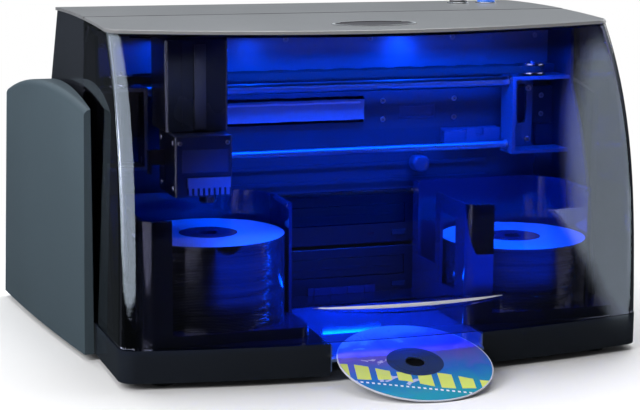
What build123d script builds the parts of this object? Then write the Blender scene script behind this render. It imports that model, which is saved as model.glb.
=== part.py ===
from build123d import *
import math
import os

# Desktop disc label printer: a robotic picker moves discs between two bins, two
# optical drives and an ink printer, under a hinged tinted cover.
#
# Modelling frame, millimetres: X = 0 is the centre plane, Y = 0 the line through the
# centres of both disc stacks (front is -Y), Z = 0 the underside of the base. save()
# then moves every piece so that the origin lies on the table, under the middle.

# ---- discs ----
disc_d = 120.0
disc_hole_d = 15.0
disc_t = 1.2
stack_count_left = 55
stack_count_right = 41

# ---- body outline ----
body_half_bottom = 214.8  # half the width at the underside
body_taper = 5.8  # how much narrower each side is at body_h
body_h = 259.0  # height at which the two widths and the lean are given
corner_y = -65.0  # front corners at the underside
front_bulge = 25.0  # how far the front curves out between its corners
top_bulge = 29.0
lean_back = 59.0  # how far the front leans back at body_h
lean_power = 3.6
corner_r = 13.0
crown_y = 130.0  # highest line of the top
crown_z = 263.2
crown_r = 2440.0
base_h = 25.0
foot_h = 5.0
foot_inset = 34.8
foot_y = [-52.0, 250.0]
deck_t = 3.0
wall = 3.0
rear_y = 277.0
seam_gap = 0.6
slide_gap = 0.4
seat_gap = 0.2

# ---- cover ----
hinge_y = 75.0
hinge_r = 9.0  # the cover's rear edge is rounded about the hinge
hinge_pin_d = 3.6
hinge_head_d = 6.0
ear_r = 3.2  # the side frame round the pin, inside the cover's turning top
pin_gap = 0.05
cover_wall = 3.0
cover_lift = 1.0  # the cover's lower edge above the deck
cover_open = 65.0  # degrees; the fixed panel behind is cut back for it
top_panel_t = 2.5
top_panel_proud = 0.8
ledge_w = 163.0
ledge_h = 10.0
ledge_z = 52.5
ledge_depth = 7.0
front_x = 6.0  # centre of the chute, the badge and the lifting ledge
badge_w = 70.0
badge_depth = 27.0
badge_y = -2.0
badge_t = 1.2

# ---- side fairings ----
fairing_front_y = 28.0
fairing_rear_y = 279.0
fairing_out_front = 8.7  # how far it stands out from the body at the front
fairing_out_rear = 32.2
fairing_belly = 2.5  # how far its side curves out between its ends
fairing_taper = 6.0  # leans in from bottom to top
fairing_top_front = 195.0
fairing_top_mid = 205.0
fairing_top_rear = 186.0
fairing_gap = 1.2
fairing_wall = 3.0

# ---- rear housing ----
hood_rear_y = 205.0
shelf_front_y = 236.0
shelf_z = 190.0
shelf_drop = 12.0
panel_half = 150.0
panel_z0 = 34.0
panel_z1 = 150.0
panel_t = 1.6
panel_rim = 14.0
screw_d = 3.0
screw_inset = 7.0
inlet_x = 100.0
inlet_z = 66.0
port_x = 60.0
button_y = 158.0
button_places = [144.0, 171.0]
button_d = 16.0
button_rise = 3.2
button_press = 1.5

# ---- output chute ----
chute_x = 5.0
chute_w = 125.0
chute_side_t = 1.0
chute_knee_y = -52.0  # the floor slopes down in front of this line
chute_lip_y = -91.0
chute_rear_y = 40.0
chute_t = 2.0
out_x = 4.0  # centre of the finished disc
out_y = -106.3
out_tilt = 14.1
out_floor_gap = 0.4
out_seat = 0.3

# ---- bins ----
bin_x = 130.0
bin_half_left = 66.0
bin_half_right = 65.0
bin_front = 62.0
bin_rear = 65.0
bin_seat_depth = 1.0
bin_floor_z = 33.0
bin_top_z = 121.0
bin_wall = 2.5
bin_corner_r = 40.0
bin_small_r = 9.0
bin_post_w = 22.0
bin_right_front_y = -12.0

# ---- optical drives ----
drive_w = 146.0
drive_h = 41.4
drive_depth = 172.0
bezel_w = 148.0
bezel_h = 42.0
bezel_t = 5.0
drive_front_y = 75.0
drive_z = [22.0, 66.8]
drive_gap_x = 76.0
fascia_y = 82.0
fascia_t = 2.5
tray_w = 124.0
tray_t = 5.0
tray_drop = 2.0  # tray plate above the lower edge of its door
tray_len = 150.0
door_w = 126.0
door_h = 16.0
door_t = 3.6
door_z = 17.0  # door's lower edge above the drive's underside
tray_travel = 140.0
eject_x = 58.0
eject_z = 8.5
eject_w = 12.0
eject_h = 4.6
eject_rise = 1.5

# ---- printer ----
printer_x = -40.0
printer_tray_w = 132.0
printer_door_z = 172.5
printer_door_h = 17.0
printer_travel = 138.0
chassis_z = 163.0
chassis_t = 2.5
shaft_d = 8.0
shaft_y = 150.0
shaft_z = 222.0
carriage_x = 120.0
carriage_w = 74.0

# ---- side frames and picker ----
frame_inset = 9.8  # outer face of each side frame, from the body's side at its underside
frame_t = 2.5
frame_top_z = 250.0
rail_y = 60.0
rail_top_z = 203.0
rail_top_d = 8.0
rail_low_z = 149.0
rail_low_d = 6.0
rail_gap = 0.05
rail_end_right = 150.0
rail_end_left = 166.0
bracket_t = 3.0
picker_x = -bin_x
picker_travel = 2 * bin_x
column_left = 34.0
column_right = 16.0
column_y0 = -3.0
column_y1 = 46.0
column_z0 = 179.0
column_z1 = 250.0
head_left = 31.5
head_right = 14.0
head_y0 = -22.0
head_y1 = 31.0
head_z0 = 131.0
head_z1 = 178.0
head_wall = 2.0
head_travel = 25.0
rod_places = [(-24.0, 20.0), (6.0, 20.0)]  # guide rods: (x from the picker's axis, y)
lift_rod_d = 5.0
screw_place = (-9.0, 12.0)
lift_screw_d = 6.0
bushing_d = 12.0
lever_y = -5.0
lever_rise = 8.0  # lever's pin above the head's underside
gripper_d = 13.4
gripper_drop = 8.0
pulley_r = 9.0
pulley_z = 210.5
belt_w = 6.0
belt_t = 1.2
pulley_x_right = 172.0
pulley_x_left = -186.0

# ---- cooling fan ----
fan_size = 60.0
fan_t = 15.0
fan_x = -95.0
fan_z = 92.0

# ---- values worked out from the above ----
far = 400.0  # reaches past the body on every side
body_half_top = body_half_bottom - body_taper
fairing_half_front = body_half_bottom + fairing_out_front
fairing_half_rear = body_half_bottom + fairing_out_rear
frame_x = body_half_bottom - frame_inset
foot_places = [(s * (body_half_bottom - foot_inset), y) for y in foot_y for s in (-1, 1)]
rib_h = base_h - deck_t - seat_gap
turn_r = hinge_r + top_panel_proud  # reach of the cover's rear edge about the hinge
lever_z = head_z0 + lever_rise
panel_screws = [
    (s * (panel_half - screw_inset), z)
    for s in (-1, 1)
    for z in (panel_z0 + screw_inset, panel_z1 - screw_inset)
]
hinge_z = crown_z - crown_r + math.sqrt(crown_r**2 - (crown_y - hinge_y) ** 2) - hinge_r
cover_rear_y = hinge_y + turn_r
housing_y = cover_rear_y + seam_gap
tilt = math.radians(out_tilt)
out_z = disc_d / 2 * math.sin(tilt) + disc_t / 2 - foot_h + out_floor_gap
out_front = out_y - disc_d / 2 * math.cos(tilt)
shift_y = -(fairing_rear_y + out_front) / 2


def save(name, shape):
    """Write one piece, moved from the modelling frame to the part's frame."""
    export_step(Pos(0, shift_y, foot_h) * shape, f"parts/{name}.step")


def box(x0, x1, y0, y1, z0, z1):
    """A block between two corners."""
    return Pos((x0 + x1) / 2, (y0 + y1) / 2, (z0 + z1) / 2) * Box(x1 - x0, y1 - y0, z1 - z0)


def rod_x(d, x0, x1, y, z):
    return Pos((x0 + x1) / 2, y, z) * Rot(0, 90, 0) * Cylinder(d / 2, x1 - x0)


def rod_y(d, x, y0, y1, z):
    return Pos(x, (y0 + y1) / 2, z) * Rot(90, 0, 0) * Cylinder(d / 2, y1 - y0)


def rod_z(d, x, y, z0, z1):
    return Pos(x, y, (z0 + z1) / 2) * Cylinder(d / 2, z1 - z0)


def prism_x(outline, x0, x1):
    """Extrude a closed (y, z) outline of edges along X."""
    face = Plane.YZ * make_face(outline)
    return Pos(x0, 0, 0) * extrude(face, x1 - x0)


def polygon_x(points, x0, x1):
    """Extrude a closed (y, z) polygon along X."""
    return prism_x(Polyline(*points, close=True), x0, x1)


def group(shapes):
    """Several separate solids that make one piece."""
    return Compound([solid for shape in shapes for solid in shape.solids()])


def mirrored(shape):
    return mirror(shape, Plane.YZ)


# ---- outline of the body ----


def half_width(z):
    return body_half_bottom - (body_half_bottom - body_half_top) * z / body_h


def front_corner(z):
    return corner_y + lean_back * (max(z, 0) / body_h) ** lean_power


def bulge(z):
    return front_bulge + (top_bulge - front_bulge) * z / body_h


def crown(y, drop=0.0):
    """Height of the top surface at y."""
    return crown_z - drop - crown_r + math.sqrt(crown_r**2 - (y - crown_y) ** 2)


def body_section(z, inset, back_y):
    """Plan of the body at a height: curved front, rounded corners, straight sides."""
    half = half_width(z) - inset
    front = front_corner(z) + inset
    left, right = (-half, front), (half, front)
    arc = ThreePointArc(left, (0, front - bulge(z)), right)
    sides = Polyline(right, (half, back_y), (-half, back_y), left)
    face = make_face(Curve() + [arc, sides])
    corners = face.vertices().sort_by(Axis.Y)[:2]
    return Pos(0, 0, z) * fillet(corners, corner_r - inset)


def body_loft(inset, back_y):
    """The body's front form, from below its underside to above its top."""
    heights = [0.0, 70.0, 130.0, 175.0, 212.0, 242.0, 268.0]
    return loft([body_section(z, inset, back_y) for z in heights])


def under_crown(y0, y1, z0, drop=0.0):
    """Everything between z0 and the crowned top surface, lowered by drop."""
    middle = (y0 + y1) / 2
    top = ThreePointArc((y0, crown(y0, drop)), (middle, crown(middle, drop)), (y1, crown(y1, drop)))
    rest = Polyline((y1, crown(y1, drop)), (y1, z0), (y0, z0), (y0, crown(y0, drop)))
    return prism_x(Curve() + [top, rest], -far, far)


# ---- base ----


def base_outline(inset):
    """Plan of the base at its underside, as a face."""
    half = body_half_bottom - inset
    front = corner_y + inset
    arc = ThreePointArc((-half, front), (0, front - front_bulge), (half, front))
    back = rear_y - inset
    sides = Polyline((half, front), (half, back), (-half, back), (-half, front))
    face = make_face(Curve() + [arc, sides])
    return fillet(face.vertices().sort_by(Axis.Y)[:2], corner_r - inset)


def chute_slot(z0, z1, side=0.0, back=0.0):
    """The space of the output chute, through the front edge of base and deck."""
    half = chute_w / 2 + side
    return box(chute_x - half, chute_x + half, -120, chute_rear_y + back, z0, z1)


def base_pan():
    """Moulded tray: skirt, floor, ribs under the deck, and the foot pads."""
    pan = extrude(base_outline(0), base_h - deck_t)
    pan -= Pos(0, 0, wall) * extrude(base_outline(wall), base_h)
    for x in (-150, -100, 100, 150):
        pan += box(x - 1.5, x + 1.5, -72, 60, wall, rib_h)
    frame_line = frame_x - frame_t / 2
    for x in (-frame_line, frame_line):
        pan += box(x - 4, x + 4, 88, 270, wall, rib_h)
    pan += box(-frame_line, frame_line, 262, 265, wall, rib_h)
    slot = chute_slot(-1, base_h, seat_gap)
    pan -= slot - box(-far, far, -60, far, -2, wall)
    beside = chute_w / 2 + seat_gap
    for s in (-1, 1):
        near, off = chute_x + s * beside, chute_x + s * (beside + wall)
        pan += box(min(near, off), max(near, off), -82, 60, wall, rib_h)
    for x, y in foot_places:
        pan -= rod_z(6.0, x, y, -1, wall + 1)
    return pan


def rubber_feet():
    """Four round feet, each with a stud pressed into the base."""
    feet = []
    for x, y in foot_places:
        pad = fillet(rod_z(20, x, y, -foot_h, 0).edges().group_by(Axis.Z)[0], 1.0)
        feet.append(pad + rod_z(6.0, x, y, 0, wall + 1))
    return group(feet)


def deck():
    """Flat plate on the base, with the chute's slot and two seats for the bins."""
    plate = Pos(0, 0, base_h - deck_t) * extrude(base_outline(0), deck_t)
    plate -= chute_slot(0, base_h + 1, seat_gap, seat_gap)
    plate -= box(-far, far, fascia_y, far, 0, base_h + 1)
    plate -= box(-drive_gap_x, drive_gap_x, drive_front_y - seat_gap, far, 0, base_h + 1)
    for x in (-bin_x, bin_x):
        low_x, high_x = x - bin_half_left - slide_gap, x + bin_half_right + slide_gap
        seat = box(low_x, high_x, -bin_front - slide_gap, bin_rear + slide_gap, base_h - bin_seat_depth, 40)
        plate -= fillet(seat.edges().filter_by(Axis.Z), 8)
    return plate


def ramp_top(y):
    """Height of the chute's sloping floor, just under the disc that lies on it."""
    return out_z - disc_t / 2 - out_seat + (y - out_y) * math.tan(tilt)


def output_chute():
    """Sloping floor and two side walls, which carry a finished disc out to the front."""
    level = ramp_top(chute_knee_y)
    rear = chute_rear_y - 1
    top = [(chute_lip_y, ramp_top(chute_lip_y)), (chute_knee_y, level), (rear, level)]
    low = [(y, z - chute_t) for y, z in reversed(top)]
    left, right = chute_x - chute_w / 2, chute_x + chute_w / 2
    chute = polygon_x(top + low, left, right)
    side_h = base_h - bin_seat_depth - seat_gap
    chute += box(left, left + chute_side_t, chute_lip_y + 3, rear, wall, side_h)
    chute += box(right - chute_side_t, right, chute_lip_y + 3, rear, wall, side_h)
    for y in (-40, 0, 30):
        chute += box(left, right, y, y + 2, wall, level - 1)
    return chute


# ---- cover ----


def hinge_rounding():
    """What the cover's top loses behind its hinge so that it can turn."""
    block = box(-far, far, hinge_y, hinge_y + 40, hinge_z, hinge_z + 40)
    return block - rod_x(2 * turn_r, -far, far, hinge_y, hinge_z)


def lifting_ledge():
    """Crescent-shaped ledge that fingers lift the cover by, pointed at both ends."""
    half = ledge_w / 2
    root_y = front_corner(ledge_z) - bulge(ledge_z)
    end_y = root_y + front_bulge * (half / body_half_bottom) ** 2 + 1.0
    ends = [(front_x - half, end_y), (front_x + half, end_y)]
    plan = make_face(
        Curve()
        + [ThreePointArc(ends[0], (front_x, root_y - ledge_depth), ends[1]),
           ThreePointArc(ends[1], (front_x, root_y + 1.5), ends[0])]
    )
    z = ledge_z
    face = make_face(
        Curve()
        + [ThreePointArc((front_x - half, z), (front_x, z - ledge_h / 2), (front_x + half, z)),
           ThreePointArc((front_x + half, z), (front_x, z + ledge_h / 2), (front_x - half, z))]
    )
    block = Pos(0, 0, z - ledge_h) * extrude(plan, 2 * ledge_h)
    lens = extrude(Plane.XZ * face, 150, both=True)
    return block & lens


def front_cover():
    """Tinted one-piece shell: curved front, two sides and the plate under the top panel."""
    low = base_h + cover_lift
    outer = body_loft(0, cover_rear_y) & under_crown(-150, cover_rear_y, low, top_panel_t)
    inner = body_loft(cover_wall, cover_rear_y + 50)
    inner &= under_crown(-150, cover_rear_y + 50, low - 10, top_panel_t + cover_wall)
    shell = outer - inner
    shell += lifting_ledge() - inner
    shell -= hinge_rounding()
    for x in (-1, 1):
        edge = x * half_width(hinge_z)
        inside = edge - x * (cover_wall + 0.6)
        boss = rod_x(2 * hinge_r - 1, min(edge - x, inside), max(edge - x, inside), hinge_y, hinge_z)
        below = under_crown(hinge_y - 20, cover_rear_y, hinge_z - 4 * hinge_r, top_panel_t)
        shell += (boss - hinge_rounding()) & below
        hole_d = hinge_pin_d + 2 * pin_gap
        shell -= rod_x(hole_d, min(edge, inside) - 3, max(edge, inside) + 3, hinge_y, hinge_z)
    return shell


def top_slab(y0, y1, proud):
    """A slab of the crowned top, from its surface down by the panel's thickness."""
    slab = body_loft(-proud, rear_y + 10) & under_crown(y0, y1, 150)
    return slab - under_crown(y0 - 5, y1 + 5, 140, top_panel_t)


def cover_top_panel():
    """Grey painted panel on the cover, with a rounded edge and the badge's recess."""
    panel = top_slab(-150, cover_rear_y, top_panel_proud) - hinge_rounding()
    rim = panel.edges().filter_by(
        lambda e: e.center().Y < hinge_y - 3 and e.center().Z > crown(e.center().Y) - 0.8
    )
    panel = fillet(rim, 1.2)
    recess = Pos(front_x, badge_y, crown(badge_y) - badge_t) * badge_oval(badge_w + 1, badge_depth + 1, 10)
    return panel - recess


def badge_oval(w, d, t):
    return Rot(X=-slope_at(badge_y)) * extrude(Ellipse(w / 2, d / 2), t)


def slope_at(y):
    """Slope of the top surface along Y, in degrees (negative leans to the front)."""
    return math.degrees(math.atan((y - crown_y) / crown_r))


def badge_plate():
    """Bare oval plate with a raised rim, set in the cover's top panel."""
    base_z = crown(badge_y) - badge_t + 0.05
    plate = badge_oval(badge_w, badge_depth, badge_t + 0.4)
    plate -= Pos(0, 0, badge_t) * badge_oval(badge_w - 3, badge_depth - 3, 3)
    return Pos(front_x, badge_y, base_z) * plate


def hinge_pins():
    """Two shouldered pins, fixed in the side frames, that the cover turns on."""
    pins = []
    for s in (-1, 1):
        tip = s * (half_width(hinge_z) - 0.5)
        root = s * (frame_x - frame_t - 4)
        pin = rod_x(hinge_pin_d, min(tip, root), max(tip, root), hinge_y, hinge_z)
        head_end = s * (frame_x - frame_t)
        head = rod_x(hinge_head_d, min(root, head_end), max(root, head_end), hinge_y, hinge_z)
        pins.append(pin + head)
    return group(pins)


# ---- rear housing ----


def housing_profile(inset, y0, drop):
    """Side view of the rear housing, as edges from the seam to the back."""
    low = base_h if inset == 0 else base_h - 10
    back = rear_y - inset
    top_end = (hood_rear_y - inset, crown(hood_rear_y, drop) - inset)
    arc = ThreePointArc((y0, crown(y0, drop) - inset), (150, crown(150, drop) - inset), top_end)
    rest = Polyline(
        top_end,
        (shelf_front_y - inset, shelf_z - inset),
        (back, shelf_z - shelf_drop - inset),
        (back, low),
        (y0, low),
        (y0, crown(y0, drop) - inset),
    )
    return Curve() + [arc, rest]


def side_taper(inset):
    """The body's leaning sides, as a wedge that is cut square front and back."""
    sections = []
    for z in (0.0, 280.0):
        half = half_width(z) - inset
        sections.append(Pos(0, rear_y / 2, z) * Rectangle(2 * half, rear_y + 100))
    return loft(sections)


def rear_housing():
    """Opaque fixed hood behind the cover, open to the front and over the base."""
    outer = prism_x(housing_profile(0, housing_y, top_panel_t), -far, far) & side_taper(0)
    corner_edges = outer.edges().filter_by(
        lambda e: abs(e.center().X) > 100 and e.center().Y > hood_rear_y + 5 and e.center().Z > base_h + 5
    )
    outer = fillet(corner_edges, 6)
    inner = prism_x(housing_profile(wall, housing_y - 5, top_panel_t), -far, far) & side_taper(wall)
    shell = outer - inner
    shell -= box(-panel_half, panel_half, rear_y - panel_t, rear_y + 10, panel_z0, panel_z1)
    rim = panel_half - panel_rim
    shell -= box(-rim, rim, rear_y - 10, rear_y + 10, panel_z0 + panel_rim, panel_z1 - panel_rim)
    for x in button_places:
        shell -= rod_z(button_d + 6, x, button_y, 240, 280)
    for x, z in panel_screws:
        shell += rod_y(9, x, rear_y - wall - 6, rear_y - panel_t, z)
        shell -= rod_y(screw_d, x, rear_y - 7, rear_y, z)
    return shell


def rear_top_panel():
    """Grey fixed panel behind the cover, cut back in front so that the cover can turn."""
    reach = turn_r + seam_gap / 2
    panel = top_slab(hinge_y, hood_rear_y - 1, top_panel_proud)
    panel -= rod_x(2 * reach, -far, far, hinge_y, hinge_z)
    panel -= Pos(0, hinge_y, hinge_z) * Rot(X=-cover_open) * box(-far, far, -60, 0, 0, reach)
    panel -= box(-far, far, 0, housing_y, 100, crown(housing_y) - top_panel_t - 1)
    for x in button_places:
        panel -= rod_z(button_d + 2 * slide_gap, x, button_y, 240, 280)
    return panel


def push_button(x):
    """Round cap on a stem, which stands proud of the top and travels down when pressed."""
    top = crown(button_y) + button_rise
    cap = rod_z(button_d, x, button_y, top - 7.5, top)
    cap = fillet(cap.edges().group_by(Axis.Z)[-1], 1.5)
    return cap + rod_z(6, x, button_y, top - 16, top - 7.5)


def switch_board():
    """Small board on two posts under the top, with the two switches that the buttons press."""
    low = crown(button_y) + button_rise - 16 - button_press - seat_gap
    left, right = button_places[0] - 14, button_places[1] + 14
    board = box(left, right, button_y - 12, button_y + 12, low - 6, low - 4.4)
    for x in button_places:
        board += box(x - 4, x + 4, button_y - 4, button_y + 4, low - 4.4, low)
    hang = crown(button_y + 3, top_panel_t + wall)
    for x in (button_places[0] - 11, button_places[1] + 11):
        board += rod_z(5, x, button_y, low - 4.4, hang)
    return board


# ---- side fairings ----


def fairing_block(inset, inner_x):
    """Outer form of the right fairing, widening towards the back and leaning in upwards."""
    sections = []
    for z in (0.0, fairing_top_mid + 10):
        lean = fairing_taper * z / fairing_top_mid + inset
        front = (fairing_half_front - lean * 0.4 - inset * 0.6, fairing_front_y + inset)
        back = (fairing_half_rear - lean, fairing_rear_y - inset)
        middle = ((front[0] + back[0]) / 2 + fairing_belly, (front[1] + back[1]) / 2)
        arc = ThreePointArc(front, middle, back)
        rest = Polyline(back, (inner_x, back[1]), (inner_x, front[1]), front)
        sections.append(Pos(0, 0, z) * make_face(Curve() + [arc, rest]))
    return loft(sections)


def fairing_side(inset, low):
    """Side view of the fairing: arched top, upright ends."""
    y0, y1 = fairing_front_y + inset, fairing_rear_y - inset
    front_top, rear_top = (y0, fairing_top_front - inset), (y1, fairing_top_rear - inset)
    arc = ThreePointArc(front_top, (0.55 * y0 + 0.45 * y1, fairing_top_mid - inset), rear_top)
    return Curve() + [arc, Polyline(rear_top, (y1, low), (y0, low), front_top)]


def side_fairing():
    """Right-hand grey wing: a moulded shell, open on the side that lies on the body."""
    inner = body_half_bottom + fairing_gap
    outer = fairing_block(0, inner) & prism_x(fairing_side(0, 0), inner - wall, far)
    top_edges = outer.edges().filter_by(lambda e: e.center().Z > 150 and e.center().X > inner + 3)
    outer = fillet(top_edges.sort_by(Axis.Z)[-1], 5.5)
    hollow = fairing_block(fairing_wall, inner - 30)
    hollow &= prism_x(fairing_side(fairing_wall, -5), inner - 31, far)
    shell = outer - hollow
    for y in (110, 200):
        shell += box(inner - 1, inner + 30, y, y + 2.5, 6, 200) & hollow
        shell += box(body_half_bottom, inner, y, y + 2.5, 6, rib_h)
    return shell


# ---- bins and discs ----


def bin_plan(x, inset):
    """Plan of a bin: one large and three small rounded corners."""
    left, right = x - bin_half_left + inset, x + bin_half_right - inset
    front, back = -bin_front + inset, bin_rear - inset
    face = make_face(Polyline((left, front), (right, front), (right, back), (left, back), close=True))
    face = fillet(face.vertices().sort_by(Axis((0, 0, 0), (1, 1, 0)))[-1], bin_corner_r - inset)
    small = face.vertices().filter_by(lambda v: v.Y < front + 0.1 or v.X < left + 0.1)
    return fillet(small, bin_small_r - inset)


def disc_bin(x):
    """Moulded bin: floor, front post, windowed left wall, back wall and curved right wall."""
    left, right = x - bin_half_left, x + bin_half_right
    low = base_h - bin_seat_depth
    outer = bin_plan(x, 0)
    inner = bin_plan(x, bin_wall)
    walls = Pos(0, 0, low) * extrude(outer - inner, bin_top_z - low)
    walls -= box(left + bin_post_w, right + 1, -bin_front - 1, bin_right_front_y, bin_floor_z, 200)
    walls -= box(left - 1, left + 4, -36, -4, 47, 107)
    walls -= box(left - 1, left + 4, 6, 45, 60, 200)
    floor = Pos(0, 0, low) * extrude(outer, bin_floor_z - low)
    floor -= Pos(0, 0, low - 1) * extrude(bin_plan(x, 6), bin_floor_z - low - 3)
    for y in (-24, 20):
        floor += box(left + 5, right - 5, y, y + 2, low, bin_floor_z - 1)
    bead_end = bin_rear - bin_corner_r
    bead = rod_y(2 * bin_wall, right - bin_wall, bin_right_front_y, bead_end, bin_top_z - bin_wall)
    bead = fillet(bead.edges().group_by(Axis.Y)[0], 1.5)
    return walls + floor + bead


def disc_stack(x, count):
    """A pile of blank discs on the bin's floor."""
    top = bin_floor_z + count * disc_t
    pile = rod_z(disc_d, x, 0, bin_floor_z, top)
    return pile - rod_z(disc_hole_d, x, 0, bin_floor_z - 1, top + 1)


def output_disc():
    """The finished disc: its front edge rests on the table and its back on the ramp."""
    disc = Cylinder(disc_d / 2, disc_t) - Cylinder(disc_hole_d / 2, disc_t + 2)
    return Pos(out_x, out_y, out_z) * Rot(X=out_tilt) * disc


# ---- optical drives ----


def drive_body(z):
    """Steel drive case with the channel that its tray runs in."""
    y0 = drive_front_y + bezel_t
    case = box(-drive_w / 2, drive_w / 2, y0, y0 + drive_depth, z, z + drive_h)
    half = tray_w / 2 + seat_gap
    low = z + door_z + tray_drop - seat_gap
    case -= box(-half, half, y0 - 1, y0 + drive_depth - 3, low, z + door_z + door_h + 1)
    case -= box(-50, 50, y0 + 20, y0 + 140, z + drive_h - 1.2, z + drive_h + 1)
    button = box(eject_x - 8, eject_x + 8, y0 - 1, y0 + 12, z + eject_z - 3.5, z + eject_z + 3.5)
    return fillet((case - button).edges().filter_by(Axis.Y).group_by(Axis.Z)[-1], 1.0)


def drive_bezel(z):
    """Plastic front frame with the door opening, the eject button's hole and an indicator window."""
    y = drive_front_y
    face = box(-bezel_w / 2, bezel_w / 2, y, y + bezel_t, z - 0.3, z - 0.3 + bezel_h)
    face = fillet(face.edges().group_by(Axis.Y)[0], 1.2)
    half = door_w / 2 + slide_gap
    face -= box(-half, half, y - 1, y + 9, z + door_z - slide_gap, z + door_z + door_h + slide_gap)
    gap = 0.3
    face -= box(
        eject_x - eject_w / 2 - gap, eject_x + eject_w / 2 + gap, y - 1, y + 9,
        z + eject_z - eject_h / 2 - gap, z + eject_z + eject_h / 2 + gap,
    )
    face -= box(30, 36, y - 1, y + 1, z + eject_z - 1, z + eject_z + 1)
    face -= rod_y(1.6, -40, y - 1, y + 9, z + eject_z)
    return face


def disc_tray(x, z, front_w, front_h, front_t, travel):
    """Sliding tray: a door in front and a plate with the two round disc seats."""
    y = drive_front_y
    door = box(x - front_w / 2, x + front_w / 2, y, y + front_t, z, z + front_h)
    door = fillet(door.edges().group_by(Axis.Y)[0], 0.8)
    top = z + tray_drop + tray_t
    plate = box(x - tray_w / 2, x + tray_w / 2, y + front_t, y + tray_len, top - tray_t, top)
    plate -= rod_z(disc_d + 1, x, travel, top - 2.0, top + 1)
    plate -= rod_z(82, x, travel, top - 2.8, top + 1)
    plate -= box(x - 18, x + 18, travel - 20, travel + 52, top - tray_t - 1, top + 1)
    return door + plate


def drive_tray(z):
    return disc_tray(0, z + door_z, door_w, door_h, door_t, tray_travel)


def eject_button(z):
    """Small key in the drive's front, with a stem into the drive."""
    y = drive_front_y - eject_rise
    key = box(
        eject_x - eject_w / 2, eject_x + eject_w / 2, y, y + 8,
        z + eject_z - eject_h / 2, z + eject_z + eject_h / 2,
    )
    key = fillet(key.edges().group_by(Axis.Y)[0], 0.6)
    return key


def drive_cage():
    """Folded steel cage that holds both drives, on four legs in the base."""
    y0, y1 = fascia_y - 1 + seat_gap, 250
    inner = drive_w / 2 + seat_gap
    outer = inner + 2
    low = drive_z[0] - 2
    high = drive_z[1] + drive_h + seat_gap
    cage = box(-outer, outer, y0, y1, low, drive_z[0])
    cage += box(-outer, outer, y0 + 4, y1, high, high + 2)
    cage -= box(-50, 50, y0 + 30, y1 - 30, high - 1, high + 3)
    for s in (-1, 1):
        side = box(*sorted((s * inner, s * outer)), y0, y1, low, high + 2)
        for k in (0, 1, 2):
            side -= box(*sorted((s * (inner - 1), s * (outer + 1))), 110 + 45 * k, 135 + 45 * k, 35, 55)
        cage += side
        shelf_low = drive_z[0] + drive_h + seat_gap
        cage += box(*sorted((s * (inner - 9), s * inner)), y0 + 1, y1, shelf_low, drive_z[1])
        for y in (y0 + 8, y1 - 16):
            cage += box(*sorted((s * (outer - 14), s * outer)), y, y + 8, wall, low)
    return cage


# ---- inner panels and printer ----


def inner_fascia():
    """Ribbed panel behind the bins and above the drives, with the drives' opening."""
    y0, y1 = fascia_y, fascia_y + fascia_t
    panel = box(-frame_x + frame_t, frame_x - frame_t, y0, y1, base_h + seat_gap, chassis_z)
    panel -= box(-drive_gap_x, drive_gap_x, y0 - 1, y1 + 1, 0, drive_z[1] + drive_h + 3)
    for z in (118, 132, 146):
        panel += box(-140, 140, y0 - 2.0, y0, z, z + 3)
    for s in (-1, 1):
        panel += box(*sorted((s * 186, s * (frame_x - frame_t))), y0 - 2, y0, 100, chassis_z)
    return panel


def printer_chassis():
    """Bent steel plate between the side frames that carries the print tray's guides."""
    half = frame_x - frame_t
    y0, y1 = fascia_y, 230
    plate = box(-half, half, y0, y1, chassis_z, chassis_z + chassis_t)
    front = box(-half, half, y0, y0 + 2, chassis_z, rail_top_z - 8)
    tray_half = printer_tray_w / 2 + 2
    door_top = printer_door_z + printer_door_h + 2
    front -= box(printer_x - tray_half, printer_x + tray_half, 0, 200, chassis_z + chassis_t + 4, door_top)
    front -= box(60, 92, 0, 200, chassis_z + 8, chassis_z + 20)
    chassis = plate + front
    for s in (-1, 1):
        x = printer_x + s * (tray_w / 2 + slide_gap)
        chassis += box(*sorted((x, x + s * 4)), y0 + 4, y1, chassis_z, printer_door_z + 12)
        x_in = printer_x + s * (tray_w / 2 - 9)
        chassis += box(*sorted((x, x_in)), y0 + 4, y1, chassis_z, printer_door_z + tray_drop - seat_gap)
    for x in (-190, 190):
        chassis -= rod_z(4, x, 120, chassis_z - 1, chassis_z + 5)
    return chassis


def printer_tray():
    return disc_tray(printer_x, printer_door_z, printer_tray_w, printer_door_h, 4.0, printer_travel)


def upper_fascia():
    """Panel above the print tray that hides the print carriage, with a folded foot."""
    half = frame_x - frame_t
    panel = box(-half, half, 94, 96.5, rail_top_z - 10, frame_top_z)
    panel += box(-half, half, fascia_y + 2, 96.5, rail_top_z - 10, rail_top_z - 8)
    for x in (-150, -75, 0, 75, 150):
        panel -= box(x - 20, x + 20, 90, 100, frame_top_z - 8, frame_top_z - 4)
    return panel


def carriage_shaft():
    half = frame_x - 0.2
    return rod_x(shaft_d, -half, half, shaft_y, shaft_z)


def rear_guide():
    """Folded rail that keeps the print carriage from turning on its shaft."""
    half = frame_x - frame_t
    return box(-half, half, 186, 188, 192, 212) + box(-half, half, 180, 188, 190, 192)


def print_carriage():
    """Cradle on the shaft with the ink cartridge's bay and the hook on the rear guide."""
    x0, x1 = carriage_x - carriage_w / 2, carriage_x + carriage_w / 2
    body = box(x0, x1, 112, 178, 194, 240)
    body -= box(x0 + 3, x1 - 3, 115, 143, 200, 250)
    body -= box(x0 + 3, x1 - 3, 158, 175, 200, 250)
    body -= rod_x(shaft_d + 2 * rail_gap, x0 - 1, x1 + 1, shaft_y, shaft_z)
    body += box(x0 + 8, x1 - 8, 176, 192, 213, 216)
    return body


def ink_cartridge():
    """Cartridge block with a rounded grip, seated in the carriage."""
    x0, x1 = carriage_x - carriage_w / 2 + 3.2, carriage_x + carriage_w / 2 - 3.2
    block = box(x0, x1, 115.2, 142.8, 200, 246)
    return fillet(block.edges().group_by(Axis.Z)[-1], 2.0)


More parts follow.
